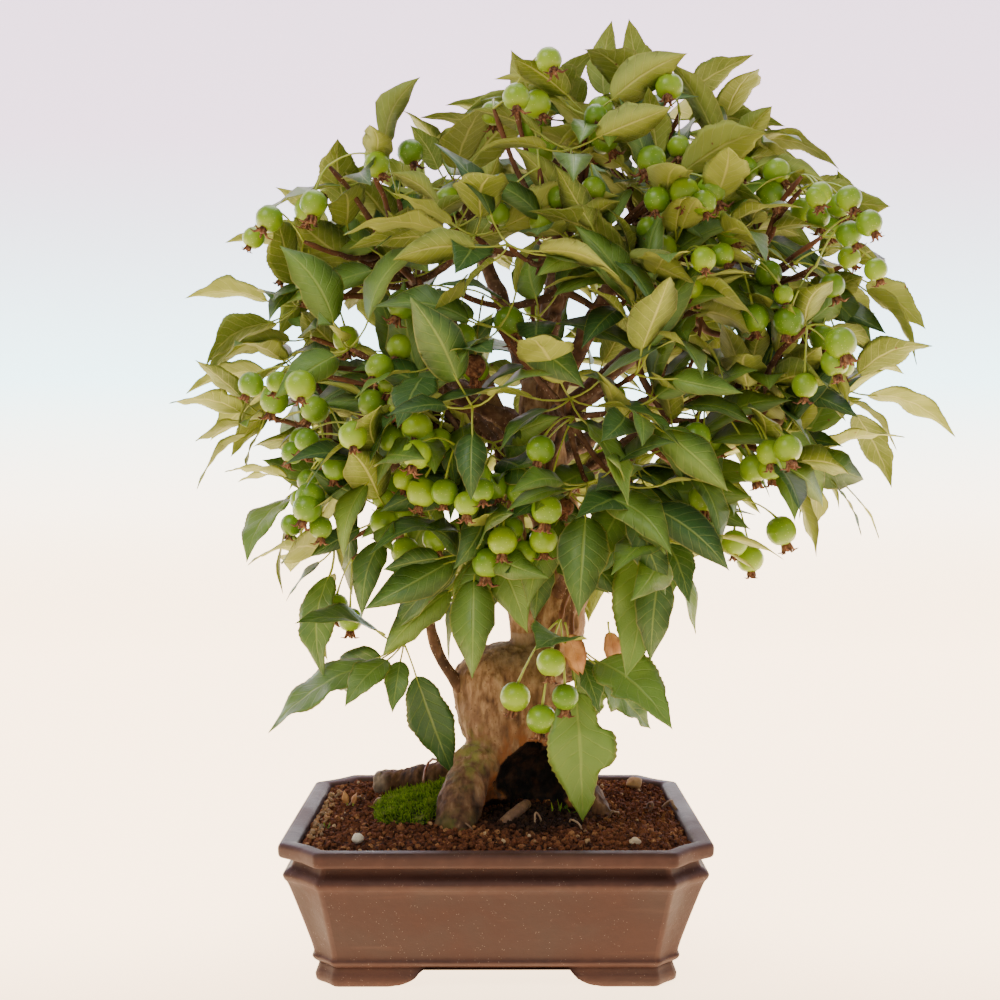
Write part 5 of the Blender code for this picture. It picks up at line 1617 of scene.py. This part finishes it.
        moved += normals * rise[:, None]
        x, y, z = local.T
        flake = self.patch(x, z, 0.18, 1.3, 0.62, 0.65) * smoothstep(-0.05, 0.22, plates + 0.12)
        rim = np.exp(-(((np.minimum(disc, wide) - 1.25) / 0.4) ** 2)) * front * 0.9
        above, foot = self.patch(x, z, -0.75, 1.45, 0.35, 0.4), self.patch(x, z, -1.0, 0.15, 0.35, 0.3)
        old = smoothstep(2.95, 3.25, z) * smoothstep(0.75, 0.2, np.abs(x - 0.1)) * (places[:, 2] < 0.172)
        end = smoothstep(-2.45, -2.66, x)
        return moved, {
            "low": np.maximum(smoothstep(1.55, 0.85, z + 0.5 * plates), smoothstep(-0.95, -1.35, x)),
            # How deep a point sank into the hollow, which sets the painted shade there.
            "hollow": smoothstep(0.06, 0.22, depth),
            "flake": np.maximum(flake, rim) * (y < 0.4),
            "green": np.maximum(above, foot * 0.8),
            "old": np.clip(np.maximum(old * 0.55, end), 0, 1),
        }

    def patch(self, x: Array, z: Array, middle: float, level: float, wide: float, high: float) -> Array:
        """A soft spot on the bark's front, exp(-((x - middle) / wide)^2 - ((z - level) / high)^2)."""
        return np.exp(-(((x - middle) / wide) ** 2) - ((z - level) / high) ** 2)

    def joints(self) -> tuple[Array, Array]:
        """Where twigs can start.

        Returns:
            Points on the middle and outer parts of every limb, and the radii there.
        """
        places, radii = [], []
        for first, last, route in (*self.stems, *self.limbs):
            path = smooth_path(self.layout.crown(route), 24)
            places.append(path[7:])
            radii.append(np.linspace(first, last, 24)[7:])
        return np.vstack(places), np.concatenate(radii)

    def twigs(self, hubs: Array, tip: float) -> Skin:
        """Twigs from the best limb to each hub, bent to arrive heading outward.

        Args:
            hubs: shape (n, 3).
            tip: the radius at the hub.

        Returns:
            The rods. A twig starts at the joint that is near and no further from the crown's heart.
        """
        joints, radii = self.joints()
        heart = self.layout.crown(self.layout.heart)
        reach = np.linalg.norm(hubs - heart, axis=1)
        gap = np.linalg.norm(hubs[:, None] - joints[None], axis=-1)
        over = np.maximum(0, np.linalg.norm(joints - heart, axis=1)[None] - 0.9 * reach[:, None])
        best = np.argmin(gap + 0.6 * over, axis=1)
        start, span = joints[best], gap[np.arange(len(hubs)), best][:, None]
        bend = hubs - self.layout.outward(hubs) * span * 0.35
        middle = start + (bend - start) * 0.62 + UP * 0.04 * span
        guide = 2 * middle - (start + hubs) / 2
        t = np.linspace(0, 1, 12)[None, :, None]
        paths = arc(start[:, None], guide[:, None], hubs[:, None], t)
        paths = paths + 0.0014 * wander(paths, 90, (41, 42, 43)) * (t * (1 - t) * 4)
        first = np.minimum(radii[best] * 0.75, 0.0026)[:, None]
        thick = first + (tip - first) * np.linspace(0, 1, 12)[None]
        thick = thick * (1 + 0.16 * np.abs(soft_noise(paths * 240, 44)))
        thick[:, -2:] = (0.0016, 0.0009)
        young = np.broadcast_to(smoothstep(0.25, 0.9, t), (len(hubs), 12, 7))
        return rods(paths, thick, 7, 0.1, young=young)

    def build_limbs(self, hubs: Array, fill_hubs: Array) -> None:
        """Makes the limbs with their knuckles, the twigs, bare young shoots and small roots.

        Args:
            hubs: shape (n, 3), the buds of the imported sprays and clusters.
            fill_hubs: shape (k, 3), the buds between them.
        """
        finish = TwigFinish().build()
        skins = []
        for i, (first, last, route) in enumerate(self.limbs):
            path = smooth_path(self.layout.crown(route), 60)
            path = path + 0.0012 * wander(path, 70, (51 + i, 71 + i, 91 + i))
            knuckle = 0.16 * np.abs(np.sin(np.linspace(0, 7, 60) * np.pi)) ** 6
            thick = np.linspace(first, last, 60) * (1 + knuckle)
            skins.append(rods(path[None], thick[None], 12, 0.12, young=np.array([0.1])))
        first, last, route = self.stub
        stub = smooth_path(self.layout.trunk(route), 30)
        girth = np.linspace(first, last, 30) * self.layout.trunk_radius
        skins.append(rods(stub[None], girth[None], 14, 0.14, young=np.array([0.3]), pale=np.array([0.15])))
        joined(*skins).build("limb_wood", finish, "bark")
        bare = np.stack([smooth_path(self.layout.crown(route), 16) for route in self.shoots])
        taper = np.broadcast_to(np.linspace(0.0013, 0.0007, 16), bare.shape[:2]).copy()
        taper *= 1 + 0.35 * np.abs(np.sin(np.linspace(0, 5, 16) * np.pi)) ** 8
        shoots = rods(bare, taper, 7, young=np.ones(len(bare)))
        twigs = joined(self.twigs(hubs, 0.0012), self.twigs(fill_hubs, 0.001), shoots)
        twigs.build("twig_wood", finish, "bark")
        self.build_rootlets(finish)

    def build_rootlets(self, finish: Material) -> None:
        """Makes thin roots that loop out of the soil, and a hair root and a snag on the left root.

        Args:
            finish: their material.
        """
        rng = np.random.default_rng(self.rootlet_seed)
        feet = np.array(self.rootlet_feet)
        n = len(feet)
        t = np.linspace(0, 1, 14)[None, :, None]
        arch = 4 * t * (1 - t)
        away = unit(rng.normal(size=feet.shape)) * rng.uniform(0.006, 0.014, (n, 1))
        ends = feet + away
        flat = feet[:, None] * (1 - t) + ends[:, None] * t + rng.normal(size=(n, 1, 2)) * 0.002 * arch
        start, stop = (self.layout.bed(*places.T)[:, None, None] for places in (feet, ends))
        rise = start * (1 - t) + stop * t + rng.uniform(0.0022, 0.0058, (n, 1, 1)) * arch + 0.0006
        paths = np.concatenate([flat, rise], axis=-1) + self.layout.origin
        paths = paths + 0.0024 * wander(paths, 160, (62, 63, 64))
        thick = np.broadcast_to(rng.uniform(0.0005, 0.001, (n, 1)), paths.shape[:2])
        loops = rods(paths, thick, 6, 0.1, pale=rng.uniform(0.3, 0.9, n), young=np.ones(n))
        strands = np.stack([smooth_path(self.layout.trunk(route), 14) for route in self.strands])
        girth = np.stack([np.full(14, 0.0003), np.linspace(0.0013, 0.0005, 14)])
        wisps = rods(strands, girth, 6, pale=np.array([0.5, 0.0]), young=np.array([0.3, 0.0]))
        joined(loops, wisps).build("rootlets", finish, "bark")


# ---- leaves


class Health(Enum):
    """Whether a leaf lives, and how dry its mark is."""

    GREEN = 0.0
    DRY = 1.0


@dataclass
class Leaves:
    """A batch of leaves as arrays: where each grows and how it lies."""

    hub: Array
    axis: Array
    normal: Array
    stalk: Array
    length: Array
    width: Array

    def __len__(self) -> int:
        """How many leaves."""
        return len(self.length)

    def pick(self, which: Array) -> "Leaves":
        """Some of the leaves."""
        return Leaves(*(values[which] for values in vars(self).values()))

    @staticmethod
    def read(node: Object, hub: Array) -> "Leaves":
        """Reads the leaves of a packed spray back from its points.

        Args:
            node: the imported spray.
            hub: its bud.

        Returns:
            The leaves. Each is ten points: three at the blade's foot, three and three across it, and the
            tip. The foot's middle gives the axis, and the first ring its width and upper side.
        """
        rows = []
        for points in islands(*welded(node), hub, 0.0045):
            away = np.linalg.norm(points - hub, axis=1)
            order = np.argsort(away)
            foot = points[order[:3]].mean(axis=0)
            axis = unit(foot - hub)
            rest = points[order[3:]]
            along = (rest - foot) @ axis
            ring = rest[np.argsort(along)[:3]]
            gaps = np.linalg.norm(ring - np.roll(ring, -1, axis=0), axis=1)
            far = int(np.argmax(gaps))
            first, second, keel = ring[far], ring[(far + 1) % 3], ring[(far + 2) % 3]
            normal = square_to(axis, unit((first + second) / 2 - keel))
            rows.append((hub, axis, normal, np.linalg.norm(foot - hub), along.max(), gaps[far]))
        return Leaves(*(np.array([row[i] for row in rows]) for i in range(6)))


@dataclass
class Foliage:
    """All leaves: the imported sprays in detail, and the smaller leaves between them."""

    layout: Layout
    hubs: Route = (
        (0.27, 0.0, 0.88), (0.41, 0.0, 0.89), (0.57, 0.0, 0.865), (0.72, 0.0, 0.795),
        (0.9, 0.0, 0.7), (0.88, 0.0, 0.55), (0.79, 0.0, 0.465), (0.08, 0.0, 0.86),
        (-0.12, 0.0, 0.8), (-0.38, 0.0, 0.735), (-0.51, 0.0, 0.65), (-0.51, 0.03, 0.57),
        (-0.6, 0.0, 0.51), (-0.5, 0.03, 0.43), (-0.42, 0.0, 0.345), (-0.235, -0.09, 0.227),
        (0.345, -0.36, 0.406), (0.185, -0.3, 0.24), (0.17, -0.55, 0.52), (0.36, -0.46, 0.66),
        (0.5, -0.44, 0.72), (-0.15, -0.44, 0.56), (-0.05, -0.42, 0.71), (0.4, -0.3, 0.78),
        (-0.02, -0.3, 0.37), (-0.3, 0.45, 0.61), (0.16, 0.68, 0.61), (0.54, 0.52, 0.59),
        (0.3, 0.5, 0.41), (0.1, 0.4, 0.8),
    )
    middle: Point = (0.16, 0.02, 0.58)
    oval: Point = (0.76, 0.7, 0.355)
    each: int = 5
    bitten: int = 17
    fine_count: int = 110
    fill_count: int = 130
    seed: int = 33

    def fill_hubs(self) -> Array:
        """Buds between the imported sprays, spread through the crown's shell.

        Returns:
            Shape (n, 3) in metres. A bud is a random way from the crown's middle times a share of the
            oval between a half and the whole. The crown's foot, the gap at its heart and the lowest
            limb are kept free.
        """
        rng = np.random.default_rng(self.seed)
        way = unit(rng.normal(size=(self.fill_count * 4, 3)) - np.array([0, 0.25, 0]))
        share = rng.uniform(0.55, 1.0, (len(way), 1))
        units = np.array(self.middle) + way * share * np.array(self.oval)
        x, y, z = units.T
        low = 0.29 + 0.26 * np.maximum(0, np.abs(x - 0.02) - 0.12)
        window = (np.hypot((x - 0.075) / 0.1, (z - 0.53) / 0.08) < 1) & (y < 0.1)
        bare_limb = (np.abs(x + 0.21) < 0.1) & (z < 0.39)
        keep = (z > low) & ~window & ~bare_limb
        return self.layout.crown(units[keep][: self.fill_count])

    def fill_leaves(self, hubs: Array) -> Leaves:
        """Leaves that fan out round each bud's heading.

        Args:
            hubs: shape (n, 3), the buds.

        Returns:
            The leaves within the crown's outline. Their turn steps by the golden angle, and their upper
            sides look up, outwards and, low down, to the nearer side.
        """
        rng = np.random.default_rng(self.seed + 1)
        n = len(hubs) * self.each
        hub = np.repeat(hubs, self.each, axis=0)
        heading = self.layout.outward(hub)
        side = unit(np.cross(heading, UP))
        other = np.cross(side, heading)
        turn = np.tile(np.arange(self.each) * GOLDEN_ANGLE, len(hubs)) + rng.uniform(-0.6, 0.6, n)
        spread = np.radians(rng.uniform(28, 84, n))
        around = side * np.cos(turn)[:, None] + other * np.sin(turn)[:, None]
        axis = heading * np.cos(spread)[:, None] + around * np.sin(spread)[:, None]
        axis = unit(axis - UP * rng.uniform(0.1, 0.6, (n, 1)))
        height = self.layout.tree_height
        rise = np.clip((hub[:, 2] - self.layout.crown(self.layout.heart)[2]) / (0.3 * height), -1, 1)
        rise = rise - 1.7 * (rng.random(n) < 0.52)
        near = np.where(hub[:, 1] - self.layout.origin[1] < 0.04, 1.0, -1.0)
        light = UP + heading * 0.45
        light[:, 1] += near * 0.9 * rise
        normal = square_to(axis, light)
        roll = np.radians(rng.uniform(-35, 35, n))[:, None]
        normal = normal * np.cos(roll) + np.cross(axis, normal) * np.sin(roll)
        length = rng.uniform(0.03, 0.052, n)
        stalk = rng.uniform(0.01, 0.02, n)
        leaves = Leaves(hub, axis, normal, stalk, length, length * rng.uniform(0.42, 0.52, n))
        x, y, z = (hub + axis * (stalk + length)[:, None] - self.layout.origin).T
        low = (z - self.layout.soil_edge) / height
        across = (x / (self.layout.crown_spread / 2) - 0.17) / 0.93
        within = across**2 + ((low - 0.47) / 0.5) ** 2 < 1
        shallow = np.abs(y / (self.layout.crown_depth / 2)) < 0.93
        return leaves.pick(within & shallow & (low > 0.17))

    def blades(self, leaves: Leaves, rows: int, half: int, teeth: int, rng: Random,
               health: Health = Health.GREEN, wear: float = 0.2) -> Skin:
        """The blades and stalks of a batch.

        Args:
            leaves: where they are.
            rows: rings along a blade.
            half: cells across the upper side.
            teeth: teeth along each edge, 0 for a smooth one.
            rng: seeded numbers.
            health: whether they live.
            wear: how far bites and bends narrow them, as a share of the half width.

        Returns:
            Closed thin blades. At a share t of the length the half width is
            W/2 sin(pi t^0.74)^(0.72 + 0.45 t), the midrib rises by L (0.3 t (1-t) - 0.06 t^2), and a
            point at a share c of the half width lifts by the fold |c| and the edge's wave. On the under
            side the quads are rolled by a corner, so that both sides split along the same diagonals.
        """
        n = len(leaves)
        t = np.linspace(0, 1, rows + 2)[1:-1]
        t = t if teeth else 0.35 * t + 0.65 * (1 - np.cos(np.pi * t)) / 2
        saw = 1 - (0.075 * np.mod(t * teeth, 1.0) if teeth else 0.0)
        shape = np.sin(np.pi * t**0.74) ** (0.72 + 0.45 * t)
        jag = np.stack([shape * saw] * n)
        c = np.concatenate([np.linspace(-1, 1, half + 1)[:-1], np.linspace(1, -1, half + 1)[:-1]])
        upper = np.concatenate([np.linspace(0, 1, half + 1)[:-1], np.linspace(1, 2, half + 1)[:-1]])
        thick = np.where(upper < 1, 1, -1) * (1 - np.abs(c)) ** 0.5 * 0.00022
        length, width = leaves.length[:, None, None], leaves.width[:, None, None]
        curl = 0.3 + rng.uniform(-0.1, 0.12, (n, 1, 1))
        drop = 0.06 + rng.uniform(-0.06, 0.12, (n, 1, 1))
        tt = t[None, :, None]
        rise = length * (curl * tt * (1 - tt) - drop * tt**2)
        sway = length * rng.uniform(-0.07, 0.07, (n, 1, 1)) * np.sin(np.pi * tt)
        fold = rng.uniform(0.02, 0.3, (n, 1, 1))
        side = np.sign(c)
        turns = tt * rng.uniform(1.2, 2.6, (n, 1, 1)) + rng.random((n, 1, 1))
        wave = 0.055 * np.sin(2 * np.pi * turns + side * 0.8)
        twist = rng.uniform(-0.35, 0.35, (n, 1, 1)) * tt
        rows_at = np.broadcast_arrays(tt * 8, side * 3.1, np.arange(n)[:, None, None] * 5.7)
        worn = 1 - wear * np.maximum(0, soft_noise(np.stack(rows_at, -1), 12))
        half_width = width / 2 * jag[:, :, None] * worn
        flat = half_width * c
        lift = np.abs(flat) * fold + width * wave * c**2 * np.sin(np.pi * tt) + flat * twist
        quilt = 0.01 * width * np.sin(np.pi * 9 * (tt - 0.2 * np.abs(c))) * (1 - c**2) * (rows > 12)
        axis, normal = leaves.axis[:, None, None], leaves.normal[:, None, None]
        across = np.cross(axis, normal)
        base = (leaves.hub + leaves.axis * leaves.stalk[:, None])[:, None, None]
        rings = (base + axis * (length * tt)[..., None] + across * (flat + sway)[..., None]
                 + normal * (rise + lift + quilt + thick)[..., None])
        end = base[:, 0, 0] + (leaves.axis - leaves.normal * drop[:, 0]) * leaves.length[:, None]
        marks = {"tone": rng.random(n), "dry": np.full(n, health.value)}
        blades = wrapped(rings, base[:, 0, 0], end, along=t, **marks)
        for faces in (blades.quads, blades.quad_uv):
            under = faces.reshape(n, rows - 1, 2 * half, *faces.shape[1:])[:, :, half:]
            under[:] = np.roll(under, 1, axis=3)
        return joined(blades, self.stalks(leaves, health))

    def hidden(self, leaves: Leaves) -> Array:
        """How deep each leaf lies behind the crown's front and outline.

        Args:
            leaves: the leaves.

        Returns:
            Metres.
        """
        places = leaves.hub + leaves.axis * (leaves.stalk + leaves.length / 2)[:, None]
        off = places - self.layout.crown(self.layout.heart)
        return off[:, 1] - 0.75 * np.hypot(off[:, 0], off[:, 2])

    def stalks(self, leaves: Leaves, health: Health) -> Skin:
        """Stalks from the bud to the blade's foot, and on under the blade as its midrib's start.

        Args:
            leaves: the leaves.
            health: whether they live.

        Returns:
            The stalks.
        """
        s = np.array([0.0, 0.35, 0.75, 1.0])[None, :, None]
        foot = leaves.hub + leaves.axis * leaves.stalk[:, None]
        sag = -leaves.normal[:, None] * leaves.stalk[:, None, None] * 0.28 * s * (1 - s)
        paths = leaves.hub[:, None] * (1 - s) + foot[:, None] * s + sag
        inner = foot + (leaves.axis * 0.1 + leaves.normal * 0.024) * leaves.length[:, None]
        paths = np.concatenate([paths, inner[:, None]], axis=1)
        radii = np.broadcast_to(np.array([0.0007, 0.0005, 0.00048, 0.00055, 0.0003]), paths.shape[:2])
        return rods(paths, radii, 5, stalk=np.ones(len(leaves)), dry=np.full(len(leaves), health.value))

    def build(self, fill_hubs: Array) -> None:
        """Makes each spray's leaves, the foremost of them toothed, then the leaves between.

        Args:
            fill_hubs: shape (k, 3), the buds between the sprays.
        """
        finish = LeafFinish().build()
        rng = np.random.default_rng(self.seed + 2)
        hubs = self.layout.crown(self.hubs)
        names = [f"leaf_spray_{i + 1:02d}" for i in range(len(hubs))]
        batches = [Leaves.read(bpy.data.objects[name], hub) for name, hub in zip(names, hubs)]
        shown = np.sort(np.concatenate([self.hidden(batch) for batch in batches]))[self.fine_count]
        for name, batch in zip(names, batches):
            near = self.hidden(batch) < shown
            wear = 0.2
            if name == names[self.bitten]:
                batch.width = batch.width * np.where(batch.length > 0.045, 1.25, 1.0)
                wear = 0.55
            skins = [self.blades(batch.pick(mask), rows, half, teeth, rng, wear=wear)
                     for mask, rows, half, teeth in ((near, 41, 8, 20), (~near, 12, 4, 0)) if mask.any()]
            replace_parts(joined(*skins).build(name + "_leaves", finish, "leaf"), name)
        fill = self.fill_leaves(fill_hubs)
        self.blades(fill, 11, 2, 0, rng).build("crown_fill_leaves", finish, "leaf")
        self.build_dry(finish, rng)

    def build_dry(self, finish: Material, rng: Random) -> None:
        """Makes two withered leaves low in the crown and two flakes of old leaf on the soil.

        Args:
            finish: the leaves' material.
            rng: seeded numbers.
        """
        hub = self.layout.crown(((0.165, -0.36, 0.262), (0.27, -0.34, 0.262)))
        soil = self.layout.origin + np.array([(-0.084, 0.009, 0.0725), (-0.081, 0.01, 0.0722)])
        hubs = np.vstack([hub, soil])
        axis = unit(np.array([(0.25, -0.2, -1.0), (0.1, -0.15, -1.0), (-0.2, 0, 1.0), (0.3, 0.1, 1.0)]))
        look = unit(np.array([(-0.5, -1.0, 0.1), (0.4, -1.0, 0.1), (0.2, -1.0, 0), (-0.3, -1.0, 0.2)]))
        sizes = (0.006, 0.005, 0.0008, 0.0008), (0.024, 0.022, 0.008, 0.007), (0.016, 0.012, 0.0045, 0.004)
        leaves = Leaves(hubs, axis, square_to(axis, look), *np.array(sizes))
        self.blades(leaves, 8, 4, 0, rng, Health.DRY).build("withered_leaves", finish, "leaf")


# ---- fruit


@dataclass
class Orchard:
    """The fruit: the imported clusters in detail, and more of them between."""

    layout: Layout
    hubs: Route = (
        (0.56, -0.38, 0.7), (0.4, -0.4, 0.765), (0.19, -0.2, 0.855), (0.68, -0.18, 0.82),
        (0.82, -0.2, 0.635), (0.49, -0.44, 0.526), (0.59, -0.24, 0.405), (0.18, -0.5, 0.5),
        (0.155, -0.34, 0.265), (-0.37, -0.04, 0.33), (-0.1, -0.38, 0.65), (-0.42, -0.1, 0.66),
        (-0.25, -0.06, 0.78), (-0.27, -0.32, 0.56), (-0.47, -0.1, 0.53), (-0.21, -0.28, 0.43),
        (0.03, -0.38, 0.41),
    )
    groups: tuple[tuple[Point, Point, int], ...] = (
        ((-0.3, -0.3, 0.5), (0.2, 0.14, 0.09), 14), ((0.6, -0.42, 0.62), (0.22, 0.12, 0.17), 11),
        ((0.18, -0.4, 0.8), (0.36, 0.12, 0.07), 9), ((-0.35, -0.2, 0.72), (0.14, 0.16, 0.08), 4),
        ((0.02, -0.48, 0.45), (0.12, 0.05, 0.05), 4), ((0.1, 0.5, 0.6), (0.5, 0.15, 0.15), 8),
    )
    dead_hubs: Route = ((-0.03, -0.44, 0.64), (0.25, -0.4, 0.47))
    dead_places: Route = ((-0.05, -0.47, 0.558), (0.165, -0.44, 0.398))
    dead_radii: tuple[float, float] = (0.0068, 0.0048)
    seed: int = 77

    def read(self, node: Object, hub: Array) -> tuple[Array, Array]:
        """Reads a packed cluster's fruit back from its points.

        Args:
            node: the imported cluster.
            hub: its bud.

        Returns:
            Centres of shape (n, 3) and radii of shape (n,): the ball that fits a fruit's points best,
            found by least squares on |p|^2 = 2 p.c + (r^2 - |c|^2), dropping points off it each time.
        """
        centres, radii = [], []
        for points in islands(*welded(node), hub, 0.0045):
            if len(points) < 14:
                continue
            near = np.median(points, axis=0)
            kept = points[np.linalg.norm(points - near, axis=1) < 0.0125]
            for _ in range(8):
                rows = np.column_stack([2 * kept, np.ones(len(kept))])
                found = np.linalg.lstsq(rows, np.sum(kept**2, axis=1), rcond=None)[0]
                centre = found[:3]
                radius = math.sqrt(max(found[3] + centre @ centre, 1e-8))
                off = np.abs(np.linalg.norm(points - centre, axis=1) - radius)
                kept = points[off < max(0.0003, np.median(off) * 1.5)]
            centres.append(centre)
            radii.append(radius)
        return np.array(centres), np.array(radii)

    def fill_hubs(self) -> Array:
        """Buds of the fruit between.

        Returns:
            Shape (n, 3), scattered through the boxes where fruit hangs thickest.
        """
        rng = np.random.default_rng(self.seed)
        boxes = [middle + rng.uniform(-1, 1, (count, 3)) * half for middle, half, count in self.groups]
        return self.layout.crown(np.vstack(boxes))

    def fill_fruit(self, hubs: Array) -> tuple[Array, Array, Array]:
        """Fruit that hangs two or three to a bud.

        Args:
            hubs: shape (n, 3), the buds.

        Returns:
            Each fruit's bud, centre and radius.
        """
        rng = np.random.default_rng(self.seed + 1)
        hub = np.vstack([np.repeat(hubs, 2, axis=0), hubs[::3]])
        n = len(hub)
        head = self.layout.outward(hub) * 0.6 + rng.normal(size=(n, 3)) * 0.42 - UP * 0.75
        centre = hub + unit(head) * rng.uniform(0.02, 0.032, (n, 1))
        return hub, centre, rng.uniform(0.0058, 0.0079, n)

    def fruit(self, hub: Array, centre: Array, radius: Array, rng: Random,
              dry: Array | None = None) -> Skin:
        """Apples with their eyes and stalks.

        Args:
            hub: shape (n, 3), the buds.
            centre: shape (n, 3), the middles of the fruit.
            radius: shape (n,).
            rng: seeded numbers.
            dry: shape (n,), 1 for a dead brown fruit.

        Returns:
            The skins. A fruit's radius at the angle p from its stalk is
            r (1 - 0.1 exp(-(p/0.32)^2) - 0.13 exp(-((pi - p)/0.3)^2)), so both ends are dimpled.
        """
        n = len(radius)
        dead = np.zeros(n) if dry is None else dry
        back = unit(UP * 0.9 + unit(hub - centre) * 0.5)
        side = unit(np.cross(back, rng.normal(size=(n, 3))))
        other = np.cross(back, side)
        polar = np.linspace(0, np.pi, 10)[1:-1]
        turn = np.linspace(0, 2 * np.pi, 12, endpoint=False)
        body = 1 - 0.1 * np.exp(-((polar / 0.32) ** 2)) - 0.13 * np.exp(-(((np.pi - polar) / 0.3) ** 2))
        body = body[:, None] * (1 + 0.018 * np.sin(turn * 5 + 1) * (polar > 1.9)[:, None])
        body = body * (1 - 0.22 * dead[:, None, None] * (0.5 + 0.5 * np.sin(turn * 4)))
        reach = radius[:, None, None] * body
        spoke = side[:, None, None] * np.cos(turn)[:, None] + other[:, None, None] * np.sin(turn)[:, None]
        rings = (centre[:, None, None] + back[:, None, None] * (np.cos(polar)[:, None] * reach)[..., None]
                 + spoke * (np.sin(polar)[:, None] * reach)[..., None])
        top, eye = centre + back * (radius * 0.86)[:, None], centre - back * (radius * 0.8)[:, None]
        balls = wrapped(rings, top, eye, tone=rng.random(n), dry=dead)
        span = np.linalg.norm(top - hub, axis=1)[:, None]
        guide = (hub + top) / 2 + UP * 0.24 * span
        paths = arc(hub[:, None], guide[:, None], top[:, None], np.linspace(0, 1, 8)[None, :, None])
        thick = np.broadcast_to(np.array([0.8, 0.58, 0.5, 0.48, 0.48, 0.5, 0.6, 0.85]) * 0.001, (n, 8))
        stalks = rods(paths, thick, 5, stalk=np.ones(n), dry=dead * 0.6)
        return joined(balls, stalks, self.eyes(eye, -back, side, other, radius, rng))

    def eyes(self, foot: Array, way: Array, side: Array, other: Array, radius: Array,
             rng: Random) -> Skin:
        """The dry flower remains: five curled slips round a tuft, all marked dry.

        Args:
            foot: shape (n, 3), the fruit's eyes.
            way: shape (n, 3), the way each eye looks.
            side: shape (n, 3), square to the way.
            other: shape (n, 3), square to both.
            radius: shape (n,), the fruit's radii.
            rng: seeded numbers.

        Returns:
            The slips and tufts. A slip leaves the eye, rises along the fruit's axis and curls outward.
        """
        n = len(radius)
        turn = (np.arange(5) * 2 * np.pi / 5)[None] + rng.uniform(0, 1, (n, 1))
        out = side[:, None] * np.cos(turn)[..., None] + other[:, None] * np.sin(turn)[..., None]
        size = (radius * rng.uniform(0.62, 0.88, n))[:, None, None]
        bend = rng.uniform(0.5, 1.25, (n, 5, 1))
        ahead, start = way[:, None] * size, foot[:, None]
        paths = np.stack([start + out * size * 0.2, start + out * size * 0.34 + ahead * 0.45,
                          start + out * size * 0.62 * bend + ahead * 0.8,
                          start + out * size * 1.1 * bend + ahead * (1.05 - 0.35 * bend)], axis=2)
        width = np.array([0.3, 0.26, 0.17, 0.05]) * 0.62 * np.repeat(size[:, 0], 5, 0)
        slips = rods(paths.reshape(-1, 4, 3), width, 4, dry=np.ones(n * 5))
        tuft = start + ahead * np.array([-0.4, 0.35, 0.75])[:, None]
        girth = np.broadcast_to(np.array([0.34, 0.3, 0.16]), (n, 3)) * size[:, 0]
        return joined(slips, rods(tuft, girth, 6, 0.3, dry=np.ones(n)))

    def build(self, fill_hubs: Array) -> None:
        """Makes each cluster's fruit, then the fruit between and the two dead ones.

        Args:
            fill_hubs: shape (k, 3), the buds between the clusters.
        """
        finish = FruitFinish().build()
        rng = np.random.default_rng(self.seed + 2)
        for i, hub in enumerate(self.layout.crown(self.hubs)):
            name = f"fruit_cluster_{i + 1:02d}"
            centres, radii = self.read(bpy.data.objects[name], hub)
            piece = self.fruit(np.repeat(hub[None], len(radii), 0), centres, radii, rng)
            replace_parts(piece.build(name + "_apples", finish, "fruit"), name)
        self.fruit(*self.fill_fruit(fill_hubs), rng).build("crown_fill_apples", finish, "fruit")
        hubs, places = self.layout.crown(self.dead_hubs), self.layout.crown(self.dead_places)
        dead = self.fruit(hubs, places, np.array(self.dead_radii), rng, np.ones(2))
        dead.build("withered_apples", finish, "fruit")


# ---- hardware


@dataclass
class Hardware:
    """Wire staple, drain screens and their clips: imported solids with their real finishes."""

    finishes: tuple[tuple[str, HardwareFinish], ...] = (
        ("root_pin", HardwareFinish("wire_red_brown", (0.17, 0.05, 0.032), (0.26, 0.11, 0.075), 0.38, 0.0)),
        ("drain_screen",
         HardwareFinish("plastic_black", (0.012, 0.012, 0.012), (0.04, 0.034, 0.03), 0.55, 0.0)),
        ("screen_clip", HardwareFinish("wire_bare", (0.42, 0.42, 0.43), (0.3, 0.29, 0.28), 0.35, 1.0)),
    )

    def build(self) -> None:
        """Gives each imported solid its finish."""
        for prefix, finish in self.finishes:
            material = finish.build()
            for name in [n for n in bpy.data.objects.keys() if n.startswith(prefix)]:
                refinish(bpy.data.objects[name], material)
                log.info("%s: %s", name, finish.name)


def main() -> None:
    """Loads the frame and builds every piece."""
    logging.basicConfig(level=logging.INFO, format="%(message)s")
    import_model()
    layout = Layout()
    layout.settle()
    Studio(layout.origin).build()
    Pot(layout).build()
    SoilBed(layout).build()
    Grit(layout).build()
    Moss(layout).build()
    foliage, orchard, wood = Foliage(layout), Orchard(layout), Wood(layout)
    leaf_buds, fruit_buds = foliage.fill_hubs(), orchard.fill_hubs()
    wood.build_trunk()
    wood.build_limbs(layout.crown(foliage.hubs + orchard.hubs), np.vstack([leaf_buds, fruit_buds]))
    foliage.build(leaf_buds)
    orchard.build(fruit_buds)
    Hardware().build()


if __name__ == "__main__":
    main()
